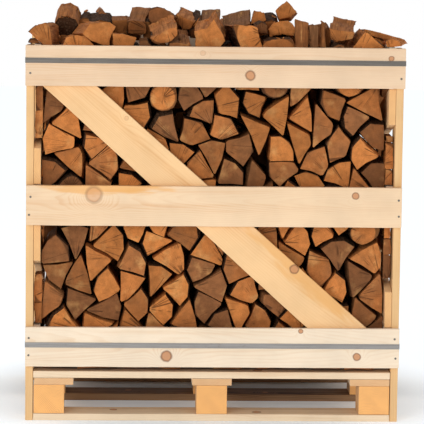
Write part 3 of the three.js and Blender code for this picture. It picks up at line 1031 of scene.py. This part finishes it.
def makeRows():
    rng = random.Random(seeds["rows"])
    outlines = makeOutlines(rng, *stack["shapes"], stack["endArea"])
    tops = {}
    for row in ("front", "middle", "back"):
        low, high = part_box("log_row_" + row)
        width = (high.x - low.x) / mm - 2
        height = (high.z - low.z) / mm - stack["topGap"][row]
        laid, skyline = stackRow(rng, outlines, width, height)
        growLogs(rng, laid, width, height)
        pile = newPile()
        place = Matrix.Translation((0, (low.y + high.y) / 2, low.z + 1 * mm))
        for log in laid:
            addLog(pile, log["points"] * mm, log["bark"], log["pith"] * mm, log["radius"] * mm,
                   stackedSections(rng, high.y - low.y), place, rng)
        for log in laid:
            left, _, over = columnProfile(log["points"])
            start = max(int((left + width / 2) / stack["cell"]), 0)
            span = slice(start, start + len(over))
            skyline[span] = np.maximum(skyline[span], over[:len(skyline[span])])
        tops[row] = skyline + low.z / mm + 1
        print("row of logs:", row, len(laid))
        finishPiece(pile, f"stacked-logs-{row}", logMaterials, [f"log_row_{row}"])
    return tops


def markLog(bm, bark):
    # tells a log's ends, split faces and bark apart, and finds how it lies and where its heart was
    ends = sorted(bm.faces, key=lambda face: (-face.material_index, len(face.verts), abs(face.normal.y)))[-2:]
    ends.sort(key=lambda face: face.calc_center_median().y)
    front, rear = (face.calc_center_median() for face in ends)
    along = (rear - front).normalized()
    across = along.cross(Vector((0, 0, 1))).normalized()
    up = across.cross(along)
    covered = []
    for face in bm.faces:
        facing = math.degrees(math.atan2(face.normal.dot(up), face.normal.dot(across))) % 360
        face.material_index = 0 if face in ends else 1
        if bark and face not in ends and bark[0] <= facing <= bark[1]:
            face.material_index = 2
            covered.append(face.calc_center_median())
    middle = (front + rear) / 2
    if not covered:
        return along, across, up, middle - up * heap["heartDepth"] * mm, 0.0
    away = math.radians((bark[0] + bark[1]) / 2)
    pith = middle - (across * math.cos(away) + up * math.sin(away)) * heap["heartDepth"] * mm
    reach = [(place - pith - along * (place - pith).dot(along)).length for place in covered]
    return along, across, up, pith, sum(reach) / len(reach) + 2 * mm


rough = {
    "fibreDepth": 3.4 * mm,
    "ledgeDepth": 2.6 * mm,
    "barkDepth": 4.2 * mm,
    "endDepth": 0.9 * mm,
    "edgeChips": 4.0 * mm,
    "lumps": 4.5 * mm,
    "sharpest": 42, # degrees between two faces that still look like one
    # for each kind of log, how small its faces are cut and how worn it is
    "laid": (9 * mm, 1.5),
    "dropped": (15 * mm, 1.0),
    "side": (11 * mm, 0.7),
    "splinter": (14 * mm, 0.15),
}


def roughLog(bm, rng, kind, lie, tone=None):
    # cuts a log's faces into small ones, then wears them: fibres on the split faces, plates on the bark
    along, across, up, pith, radius = lie
    cell, wear = rough[kind]
    for direction, step in ((along, 1.35 * cell), (across, cell), (up, cell)):
        reach = [vert.co.dot(direction) for vert in bm.verts]
        position = min(reach) + rng.uniform(0.4, 0.9) * step
        while position < max(reach) - 0.3 * step:
            cutAcross(bm, direction * position, direction, 0.2 * mm)
            position += step
    placeLayer = bm.verts.layers.float_vector.new("logPlace")
    toneLayer = bm.verts.layers.float_vector.new("logTone")
    tone = (*(tone or (rng.random(), rng.random())), radius)
    seed = rng.uniform(-20, 20)
    bm.normal_update()
    moves = []
    for vert in bm.verts:
        away = vert.co - pith
        x, y, z = away.dot(across), away.dot(along), away.dot(up)
        vert[placeLayer] = (x, y + seed, z)
        vert[toneLayer] = tone
        kinds = {face.material_index for face in vert.link_faces}
        depth = rough["lumps"] * noise.noise(Vector((x * 17 + seed, y * 8, z * 17))) * (kinds != {0})
        if 0 in kinds:
            depth += rough["endDepth"] * abs(noise.noise(Vector((x * 60, seed, z * 60))))
        if 1 in kinds:
            fibre = abs(noise.noise(Vector((x * 42, y * 5 + seed, z * 42))))
            fibre += 0.4 * abs(noise.noise(Vector((x * 95, y * 9 - seed, z * 95))))
            ledge = noise.noise(Vector((x * 24 + seed, y * 7, z * 24)))
            depth += rough["fibreDepth"] * fibre + rough["ledgeDepth"] * min(max(ledge * 8, 0), 1)
        if 2 in kinds:
            plates = noise.noise(Vector((x * 34, y * 13 + seed, z * 34)))
            plates += 0.5 * noise.noise(Vector((x * 80, y * 34 + seed, z * 80)))
            depth += rough["barkDepth"] * min(abs(plates) * 1.6, 1)
        if len(kinds) > 1:
            chips = noise.noise(Vector((x * 48, y * 48 + seed, z * 48)))
            depth = depth / len(kinds) + rough["edgeChips"] * max(chips, 0)
        moves.append(vert.normal * depth * wear)
    for vert, move in zip(bm.verts, moves):
        vert.co -= move
    for edge in bm.edges:
        kinds = {face.material_index for face in edge.link_faces}
        edge.smooth = len(kinds) == 1 and edge.calc_face_angle(0.0) < math.radians(rough["sharpest"])
    for face in bm.faces:
        face.smooth = True


def prismLog(outline, bark, pith, radius, length, place):
    # outline and pith are in the log's own end plane; gives the solid and how it lies
    bm = bmesh.new()
    ring = [bm.verts.new((x, -length / 2, z)) for x, z in outline]
    end = bm.faces.new(ring)
    edges = {edge: bark[index] and bark[(index + 1) % len(ring)]
             for index, edge in enumerate(loop.edge for loop in end.loops)}
    made = bmesh.ops.extrude_face_region(bm, geom=[end])["geom"]
    bmesh.ops.translate(bm, verts=[v for v in made if isinstance(v, bmesh.types.BMVert)], vec=(0, length, 0))
    for face in bm.faces:
        under = [edges[edge] for edge in face.edges if edge in edges]
        face.material_index = 0 if len(under) != 1 else 2 if under[0] else 1
    bmesh.ops.recalc_face_normals(bm, faces=bm.faces[:])
    bm.transform(place)
    bm.normal_update()
    turned = place.to_3x3()
    lie = (turned @ Vector((0, 1, 0)), turned @ Vector((1, 0, 0)), turned @ Vector((0, 0, 1)),
           place @ Vector((pith[0], 0, pith[1])), radius)
    return bm, lie


heap = {
    "logLength": 230,
    "shorter": 16, # by at most
    "cell": 8,
    "stride": 2, # cells from one place that is looked at to the next
    # what is dropped in after the listed logs, and their ends in square millimetres
    "fills": {"logs": stack["endArea"], "halves": (2700, 4600), "thin splits": (1200, 2700)},
    "shapes": (60, 12),
    "fillLogs": 90, # at most, each time
    "looks": 22, # logs looked over before each one is dropped
    "frontToBack": 0.7, # share of the dropped logs that lie about so
    "strayTurn": 8, # degrees
    "tilt": 5,
    # what counts when a place is picked: low down, little room above, little gap below
    "weights": (0.5, 0.3, 0.6),
    "deepestGap": 60,
    "heartDepth": 45, # from a log's middle to its ring centre
    "shaded": 0.75, # how light the laid logs really get
    "apart": 3, # what is dropped in stays this far under a laid log
    # nothing dropped in stands above this, at each place across the crate, and less towards the back
    "crest": ((-541, 1208), (-505, 1226), (-480, 1266), (-425, 1266), (-400, 1258), (-200, 1266), (0, 1266),
              (115, 1252), (134, 1240), (155, 1264), (240, 1264), (270, 1234), (300, 1246), (420, 1244),
              (470, 1220), (541, 1186)),
    "backSlope": 0.06,
}
# the logs laid one by one: the place of the front end, turn, tilt and length, how weathered and how light it
# is, from 0 to 1, which way its bark faces, from and to, and its corners round that place
# a light of 0 or 0.1 on the logs that fill the gaps behind the front rank is painted shade, so that those
# gaps look dark
handLogs = [
    ((-427, -352, 1189), 3, -4, 226, 0.0, 1.0, None,
     ((-51, -10), (-39, 18), (-11, 25), (23, 24), (35, 10), (48, -12), (42, -26), (-45, -27))),
    ((-355, -352, 1222), 9, -4, 226, 0.15, 0.6, None,
     ((-62, -2), (-37, 30), (-6, 36), (28, 32), (44, 18), (32, -4), (26, -41), (4, -41), (-30, -26))),
    ((-278, -352, 1196), 2, -4, 226, 0.05, 0.4, None,
     ((-45, 25), (-14, 23), (26, 14), (32, 11), (23, -14), (17, -30), (-39, -31))),
    ((-218, -352, 1188), -2, -5, 220, 0.9, 0.0, (20, 160),
     ((-24, 19), (3, 22), (10, 6), (19, -6), (13, -22), (-24, -22))),
    ((-158, -352, 1211), 1, 7, 226, 0.35, 1.0, (195, 350),
     ((-47, -6), (-7, 18), (15, 28), (36, 29), (37, 6), (24, -13), (3, -24), (-22, -26), (-41, -16))),
    ((-106, -352, 1183), 1, 7, 224, 0.6, 0.7, None,
     ((-40, 9), (-6, 13), (12, 10), (25, 13), (32, 0), (26, -15), (-37, -16))),
    ((-16, -352, 1215), -3, 4, 226, 0.1, 0.7, None,
     ((-53, 15), (-34, 21), (-12, 28), (9, 56), (28, 22), (48, -15), (32, -31), (26, -46), (-46, -47))),
    ((108, -352, 1212), 4, -4, 226, 0.0, 0.95, (150, 230),
     ((-58, 39), (-5, 40), (20, 29), (39, -27), (36, -42), (-29, -43))),
    ((195, -352, 1192), 0, 0, 224, 0.3, 0.3, (30, 150),
     ((-48, -7), (-45, 9), (-20, 16), (17, 17), (42, 15), (52, -6), (49, -21), (-45, -22))),
    ((215, -240, 1233), -2, -5, 180, 0.1, 1.0, None,
     ((-46, -5), (-31, 18), (-9, 24), (16, 26), (32, 12), (42, -4), (36, -23), (1, -20), (-40, -27))),
    ((-486, -350, 1174), 4, -3, 200, 0.2, 0.4, None, ((-24, -12), (-12, 8), (10, 10), (24, -12))),
    ((360, -352, 1178), -4, -2, 224, 0.8, 0.4, (40, 140),
     ((-34, 8), (0, 4), (30, 12), (38, -10), (-30, -12))),
    ((-295, -70, 1223), 0, 1, 180, 0.3, 0.0, None, ((-31, 22), (24, 24), (20, -23), (-25, -23))),
    ((-63, -114, 1204), 2, 6, 226, 0.7, 0.1, (100, 260), ((-14, 13), (9, 18), (15, -15), (-10, -16))),
    ((145, -114, 1259), -3, -4, 226, 0.1, 0.7, None, ((-15, 26), (17, 19), (24, -7), (-1, -20), (-24, -20))),
    ((181, -114, 1238), -2, 4, 200, 0.4, 0.0, (10, 170),
     ((-28, 1), (-15, 11), (7, 15), (27, 5), (30, -17), (-24, -18))),
    ((150, -250, 1236), 3, 0, 200, 0.9, 0.2, (10, 170), ((-20, 8), (-1, 21), (18, 9), (18, -20), (-13, -20))),
    ((-356, 50, 1262), 4, 2, 120, 0.6, 1.0, None, ((-15, -8), (0, 8), (14, -6), (8, -16), (-10, -16))),
    ((478, -222, 1222), -62, -13, 132, 0.1, 1.0, None, ((-34, -10), (-30, 8), (0, 12), (30, 8), (34, -8))),
    ((-410, -60, 1230), -2, 3, 170, 0.3, 0.0, (20, 160),
     ((-20, 10), (-8, 22), (8, 21), (18, 8), (16, -34), (-16, -34))),
    ((-212, -96, 1216), -4, 2, 200, 0.5, 0.0, (20, 160),
     ((-14, 22), (2, 30), (12, 26), (16, -34), (-12, -34))),
    ((-120, -60, 1226), -5, 0, 160, 0.5, 0.0, None, ((-15, 26), (4, 34), (16, 20), (14, -34), (-15, -34))),
    ((-48, -70, 1216), -2, 9, 180, 0.4, 0.0, (60, 260),
     ((-20, 14), (-8, 30), (10, 22), (12, -26), (-14, -24))),
    ((349, -290, 1206), -3, 3, 160, 0.4, 0.0, None, ((-14, 30), (2, 36), (14, 22), (12, -40), (-12, -40))),
    ((384, -346, 1181), 5, 1, 210, 0.7, 0.5, (30, 150), ((-22, 4), (-4, 14), (16, 9), (26, -12), (-26, -12))),
    ((-566, -338, 1193), 2, 0, 70, 0.6, 0.1, (10, 170), ((-18, -6), (-10, 7), (8, 8), (18, -6))),
    ((511, -244, 1186), -12, 0, 190, 0.2, 0.9, (20, 100),
     ((-20, 14), (2, 24), (20, 12), (24, -16), (-22, -20))),
    ((-272, 128, 1205), 0, 0, 130, 0.4, 0.1, None, ((-27, 22), (-4, 36), (24, 26), (26, -30), (-26, -30))),
    ((-250, 124, 1180), 0, 0, 120, 0.5, 0.0, None, ((-26, -18), (-24, 14), (0, 24), (22, 14), (24, -18))),
    ((-68, 124, 1205), 0, 0, 120, 0.4, 0.1, None, ((-26, -25), (-22, 12), (0, 24), (22, 12), (24, -25))),
    ((553, -342, 1200), -12, 0, 150, 0.1, 1.0, None, ((-18, -13), (-20, 2), (-3, 10), (20, 3), (33, -13))),
    # the three that stand on end
    ((269, -338, 1160), -2, 76, 112, 0.4, 0.15, None, ((-22, -9), (6, -11), (23, -9), (22, 9), (-21, 9))),
    ((307, -338, 1160), 3, 74, 102, 0.9, 0.2, None, ((-17, -8), (0, -11), (17, -8), (14, 9), (-14, 9))),
    ((335, -334, 1160), -4, 75, 112, 0.5, 0.3, None, ((-11, -8), (-2, -10), (11, -7), (10, 9), (-9, 9))),
]
# where the rear end of each of those is highest, and how steeply it falls away
endPeaks = {31: (-0.016, 0.35), 32: (0.0, 0.8), 33: (-0.006, 0.9)}
# the same for the logs that are in the frame already: how weathered and light, and which way the bark faces
markedLogs = {
    "heap_log_1": (0.25, 0.3, (100, 150)),
    "heap_log_2": (0.2, 0.4, None),
    "heap_log_3": (0.2, 0.1, (10, 170)),
    "heap_log_4": (0.55, 0.4, (130, 200)),
    "heap_log_5": (0.75, 0.8, (40, 140)),
    "heap_log_6": (0.3, 0.8, None),
    "heap_log_7": (0.95, 0.8, None),
    "heap_log_8": (0.9, 0.7, None),
    "heap_log_9": (0.05, 0.6, None),
    "heap_log_10": (0.3, 0.3, None),
    "heap_log_11": (0.0, 1.0, (20, 70)),
}
barkEnds = ("heap_log_2",) # its front end takes the bark's colour, so that it is dark


def placeLog(x, y, z, turn, tilt):
    # tilted rear end up, then turned to the left
    return (Matrix.Translation((x * mm, y * mm, z * mm)) @ Matrix.Rotation(math.radians(turn), 4, "Z")
            @ Matrix.Rotation(math.radians(tilt), 4, "X"))


def cornerLog(corners, length, peak, slope):
    # a straight log from its corners, front end at the origin; its rear end may fall away from a peak
    bm = bmesh.new()
    end = bm.faces.new([bm.verts.new((x * mm, 0, z * mm)) for x, z in corners])
    frontEdges = set(end.edges)
    made = bmesh.ops.extrude_face_region(bm, geom=[end])["geom"]
    rear = [vert for vert in made if isinstance(vert, bmesh.types.BMVert)]
    for face in bm.faces: # each side has one edge of the front end
        face.material_index = int(len(frontEdges.intersection(face.edges)) == 1)
    bmesh.ops.translate(bm, verts=rear, vec=(0, length * mm, 0))
    for vert in rear:
        vert.co.y -= slope * abs(vert.co.x - peak)
    bmesh.ops.recalc_face_normals(bm, faces=bm.faces[:])
    return bm


def mapCloud(cloud):
    # lowest and highest point in each cell that a cloud of points covers, from its first cell on
    cells = np.floor(cloud[:, :2] / heap["cell"]).astype(int)
    first = cells.min(0)
    cells -= first
    low = np.full(cells.max(0) + 1, np.inf)
    high = np.full(low.shape, -np.inf)
    np.minimum.at(low, tuple(cells.T), cloud[:, 2])
    np.maximum.at(high, tuple(cells.T), cloud[:, 2])
    return first, low, high


def logCloud(outline, length, place):
    # points all over a log's surface, in millimetres
    nextPoints = np.roll(outline, -1, axis=0)
    ring = []
    for start, end in zip(outline, nextPoints):
        shares = np.linspace(0, 1, max(2, int(math.dist(start, end) / 5)), endpoint=False)
        ring.append(start + (end - start) * shares[:, None])
    ring = np.concatenate(ring)
    middle = outline.mean(0)
    layers = [(y, 1.0) for y in np.arange(-length / 2, length / 2 + 1, 6)]
    layers += [(y, scale) for y in (-length / 2, length / 2) for scale in (0.9, 0.75, 0.6, 0.45, 0.3, 0.1)]
    points = []
    for y, scale in layers:
        flat = middle + (ring - middle) * scale
        points.append(np.stack([flat[:, 0], np.full(len(flat), y), flat[:, 1]], 1))
    turned = np.array(place.to_3x3())
    return np.concatenate(points) @ turned.T


def dropLogs(rng, pile, outlines, ground, ceiling, origin):
    # drops logs one by one to where each lies lowest and closest on what is there, under the ceiling
    cell, stride = heap["cell"], heap["stride"]
    forLow, forRoom, forGap = heap["weights"]
    dropped = 0
    for _ in range(heap["fillLogs"]):
        best = None
        for outline in rng.sample(outlines, heap["looks"]):
            squarely = rng.random() < heap["frontToBack"]
            turn = rng.gauss(0, heap["strayTurn"]) if squarely else rng.uniform(-90, 90)
            place = placeLog(0, 0, 0, turn, rng.uniform(-heap["tilt"], heap["tilt"]))
            length = heap["logLength"] - rng.uniform(0, heap["shorter"])
            first, under, over = mapCloud(logCloud(outline["points"], length, place))
            here = sliding_window_view(ground, under.shape)[::stride, ::stride]
            rest = (here - under).max((2, 3))
            covered = np.isfinite(under)
            gap = np.minimum(np.where(covered, rest[..., None, None] + under - here, 0), heap["deepestGap"])
            room = (sliding_window_view(ceiling, under.shape)[::stride, ::stride] - over).min((2, 3))
            cost = forLow * rest + forRoom * (room - rest) + forGap * gap.sum((2, 3)) / covered.sum()
            cost[rest > room] = np.inf
            spot = np.unravel_index(cost.argmin(), cost.shape)
            if math.isfinite(cost[spot]) and (best is None or cost[spot] < best[0]):
                best = (cost[spot], spot, rest[spot], outline, place, length, first, over)
        if best is None:
            break
        _, spot, rest, outline, place, length, first, over = best
        corner = (spot[0] * stride, spot[1] * stride)
        window = tuple(slice(c, c + n) for c, n in zip(corner, over.shape))
        ground[window] = np.maximum(ground[window], rest + over + 1)
        x = (corner[0] + origin[0] - first[0]) * cell
        y = (corner[1] + origin[1] - first[1]) * cell
        place = Matrix.Translation((x * mm, y * mm, (rest + 0.5) * mm)) @ place
        bm, lie = prismLog(outline["points"] * mm, outline["bark"], outline["pith"] * mm,
                           outline["radius"] * mm, length * mm, place)
        roughLog(bm, rng, "dropped", lie)
        addToPile(pile, bm)
        dropped += 1
    return dropped


splinters = {
    "count": 60,
    "length": (16, 52),
    "width": (1.6, 4.2),
    "slant": (1, 4), # of the torn end
    "tilt": 3,
    "fromEdge": 30 * mm,
    "weathered": (0, 0.4),
    "light": (0.7, 1.0),
}


def makeSplinters(rng, surface, low, high):
    # slivers and crumbs of wood that lie where they fell on the heap
    bits = newPile()
    for _ in range(splinters["count"]):
        above = Vector((rng.uniform(low.x + splinters["fromEdge"], high.x - splinters["fromEdge"]),
                        rng.triangular(low.y, high.y, low.y), high.z + 0.1))
        place, normal, *_ = surface.ray_cast(above, Vector((0, 0, -1)))
        if place is None or normal.z < 0.4:
            continue
        length, width = rng.uniform(*splinters["length"]), rng.uniform(*splinters["width"])
        corners = ((-width, -width * 0.4), (-width * 0.3, width * 0.5), (width * 0.8, width * 0.3),
                   (width, -width * 0.5))
        bm = cornerLog(corners, length, 0, rng.uniform(*splinters["slant"]))
        bmesh.ops.translate(bm, verts=bm.verts[:], vec=(0, -length / 2 * mm, 0))
        lie = normal.to_track_quat("Z", "Y").to_matrix().to_4x4()
        turned = Matrix.Rotation(rng.uniform(0, 2 * math.pi), 4, "Z")
        lifted = Matrix.Rotation(math.radians(rng.uniform(0, splinters["tilt"])), 4, "X")
        bm.transform(Matrix.Translation(place + normal * width * 0.5 * mm) @ lie @ turned @ lifted)
        bm.normal_update()
        tone = (rng.uniform(*splinters["weathered"]), rng.uniform(*splinters["light"]))
        roughLog(bm, rng, "splinter", markLog(bm, None), tone)
        addToPile(bits, bm)
    finishPiece(bits, "heap-splinters", logMaterials, [], smooth=None)


def heapGround(tops, left, front, shape):
    # how high the rows reach under each cell of the heap
    cell = heap["cell"]
    ground = np.zeros(shape)
    for row, top in tops.items():
        low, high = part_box("log_row_" + row)
        ys = (np.arange(shape[1]) + front) * cell
        inRow = (ys > low.y / mm - cell) & (ys < high.y / mm)
        for column in range(shape[0]):
            x = (left + column) * cell + (high.x - low.x) / mm / 2 - 1
            span = slice(max(int(x / stack["cell"]), 0), int((x + cell) / stack["cell"]) + 1)
            ground[column, inRow] = top[span].max()
    return ground


def layLogs(rng, pile):
    # the logs that are in the frame, then those listed; gives the points of each, in millimetres
    clouds = []

    def wearLog(bm, lie, grey, light):
        roughLog(bm, rng, "laid", lie, (grey, light * heap["shaded"]))
        clouds.append(np.array([vert.co for vert in bm.verts]) / mm)

    for name in sorted(nodes):
        if not name.startswith("heap_log_"):
            continue
        bm = cleanMesh(name)
        grey, light, bark = markedLogs[name]
        lie = markLog(bm, bark)
        if name in barkEnds:
            middle = sum((face.calc_center_median() for face in bm.faces), Vector()) / len(bm.faces)
            for face in bm.faces:
                if face.material_index == 0 and face.calc_center_median().y < middle.y:
                    face.material_index = 2
        wearLog(bm, lie, grey, light)
        finishPiece(bm, name.replace("_", "-") + "-wood", logMaterials, [name], smooth=None)
    for index, (at, turn, tilt, length, grey, light, bark, corners) in enumerate(handLogs):
        bm = cornerLog(corners, length, *endPeaks.get(index, (0, 0)))
        bm.transform(placeLog(*at, turn, tilt))
        bm.normal_update()
        wearLog(bm, markLog(bm, bark), grey, light)
        addToPile(pile, bm)
    return clouds


def makeHeap(tops):
    rng = random.Random(seeds["heap"])
    low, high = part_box("log_heap")
    cell = heap["cell"]
    left, front = math.ceil(low.x / mm / cell), math.ceil(low.y / mm / cell)
    shape = (math.floor(high.x / mm / cell) - left, math.floor(high.y / mm / cell) - front)
    ground = heapGround(tops, left, front, shape)
    xs = (np.arange(shape[0]) + left + 0.5) * cell
    ys = (np.arange(shape[1]) + front + 0.5) * cell
    crest = np.interp(xs, *zip(*heap["crest"]))
    ceiling = crest[:, None] - heap["backSlope"] * (ys[None, :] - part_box("heap_log_2")[0].y / mm)

    pile = newPile()
    clouds = layLogs(rng, pile)
    print("heap: logs laid by hand:", len(clouds))
    for cloud in clouds: # nothing is dropped on top of them
        first, under, _ = mapCloud(cloud)
        for column, row in np.argwhere(np.isfinite(under)):
            spot = (first[0] + column - left, first[1] + row - front)
            around = tuple(slice(max(place - 1, 0), place + 2) for place in spot)
            ceiling[around] = np.minimum(ceiling[around], under[column, row] - heap["apart"])
    for label, areas in heap["fills"].items():
        outlines = makeOutlines(rng, *heap["shapes"], areas)
        dropped = dropLogs(rng, pile, outlines, ground, ceiling, (left, front))
        print("heap:", label, "dropped in:", dropped)
    surface = BVHTree.FromBMesh(pile)
    finishPiece(pile, "heaped-logs", logMaterials, ["log_heap"], smooth=None)
    makeSplinters(rng, surface, low, high)


# split logs that push out past the rows, between the boards of each side
sideLogs = {
    "start": 537, # from the crate's middle
    # how far out, row by row; the posts leave less room at the ends
    "out": {"front": (22, 25.5), "middle": (22, 36), "back": (22, 25.5)},
    "height": (44, 92),
    "least": 12,
    "apart": 0.5,
    "fromBoards": 3,
    "fromRowEnds": (4, 14),
    # corners, as shares of how far out and how high it is
    "corners": ((0, 0), (0.97, 0.0), (1, 0.4), (0.98, 0.96), (0.8, 1), (0, 1)),
    "shares": (1, 0.6, 0.35), # of its height, tried one after the other where a brace is in the way
    "withoutBark": 0.5, # share of them
}


def sideLog(side, low, high, out, start, stop):
    corners = [(side * x * out, low + (high - low) * z) for x, z in sideLogs["corners"]]
    bm = cornerLog(corners, stop - start, 0, 0)
    bmesh.ops.translate(bm, verts=bm.verts[:], vec=(side * sideLogs["start"] * mm, start * mm, 0))
    bm.normal_update()
    return bm


def sideColumn(rng, pile, side, row, bottom, top, inTheWay):
    # logs one above the other at the end of a row, each as big as the braces allow
    low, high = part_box("log_row_" + row)
    start = low.y / mm + rng.uniform(*sideLogs["fromRowEnds"])
    stop = high.y / mm - rng.uniform(*sideLogs["fromRowEnds"])
    third = (stop - start) / 3
    spans = [(start, stop), (start, stop - third), (start + third, stop), (start, start + third),
             (stop - third, stop)]
    made = 0
    while bottom < top - sideLogs["least"]:
        height = min(rng.uniform(*sideLogs["height"]), top - bottom)
        out = rng.uniform(*sideLogs["out"][row])
        tone = (rng.random(), rng.random())
        rise = sideLogs["least"] # past a place where nothing fits
        for share, span in itertools.product(sideLogs["shares"], spans):
            bm = sideLog(side, bottom, bottom + height * share, out, *span)
            if BVHTree.FromBMesh(bm).overlap(inTheWay):
                bm.free()
                continue
            bark = None if rng.random() < sideLogs["withoutBark"] else (0, 80) if side > 0 else (100, 260)
            roughLog(bm, rng, "side", markLog(bm, bark), tone)
            addToPile(pile, bm)
            rise = height * share + sideLogs["apart"]
            made += 1
            break
        bottom += rise
    return made


def makeSideLogs():
    rng = random.Random(seeds["sides"])
    pile = newPile()
    count = 0
    for side, label in ((-1, "left"), (1, "right")):
        braces = bmesh.new()
        for level in ("lower", "upper"):
            braces.from_mesh(nodes[f"{label}_brace_{level}"].data)
        inTheWay = BVHTree.FromBMesh(braces)
        braces.free()
        for under, over in (("bottom", "middle"), ("middle", "top")):
            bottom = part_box(f"{label}_slat_{under}")[1].z / mm + sideLogs["fromBoards"]
            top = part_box(f"{label}_slat_{over}")[0].z / mm - sideLogs["fromBoards"]
            for row in ("front", "middle", "back"):
                count += sideColumn(rng, pile, side, row, bottom, top, inTheWay)
    finishPiece(pile, "side-logs", logMaterials, [], smooth=None)
    print("side logs:", count)


groups = {"knot": knotGroup(), "timber": timberGroup(), "weather": weatherGroup()}
addCamera()
addStudio()
makeTimber()
logMaterials = [logEndMaterial(), logSplitMaterial(), logBarkMaterial()]
rowTops = makeRows()
makeHeap(rowTops)
makeSideLogs()
makeBands()
makeNails()
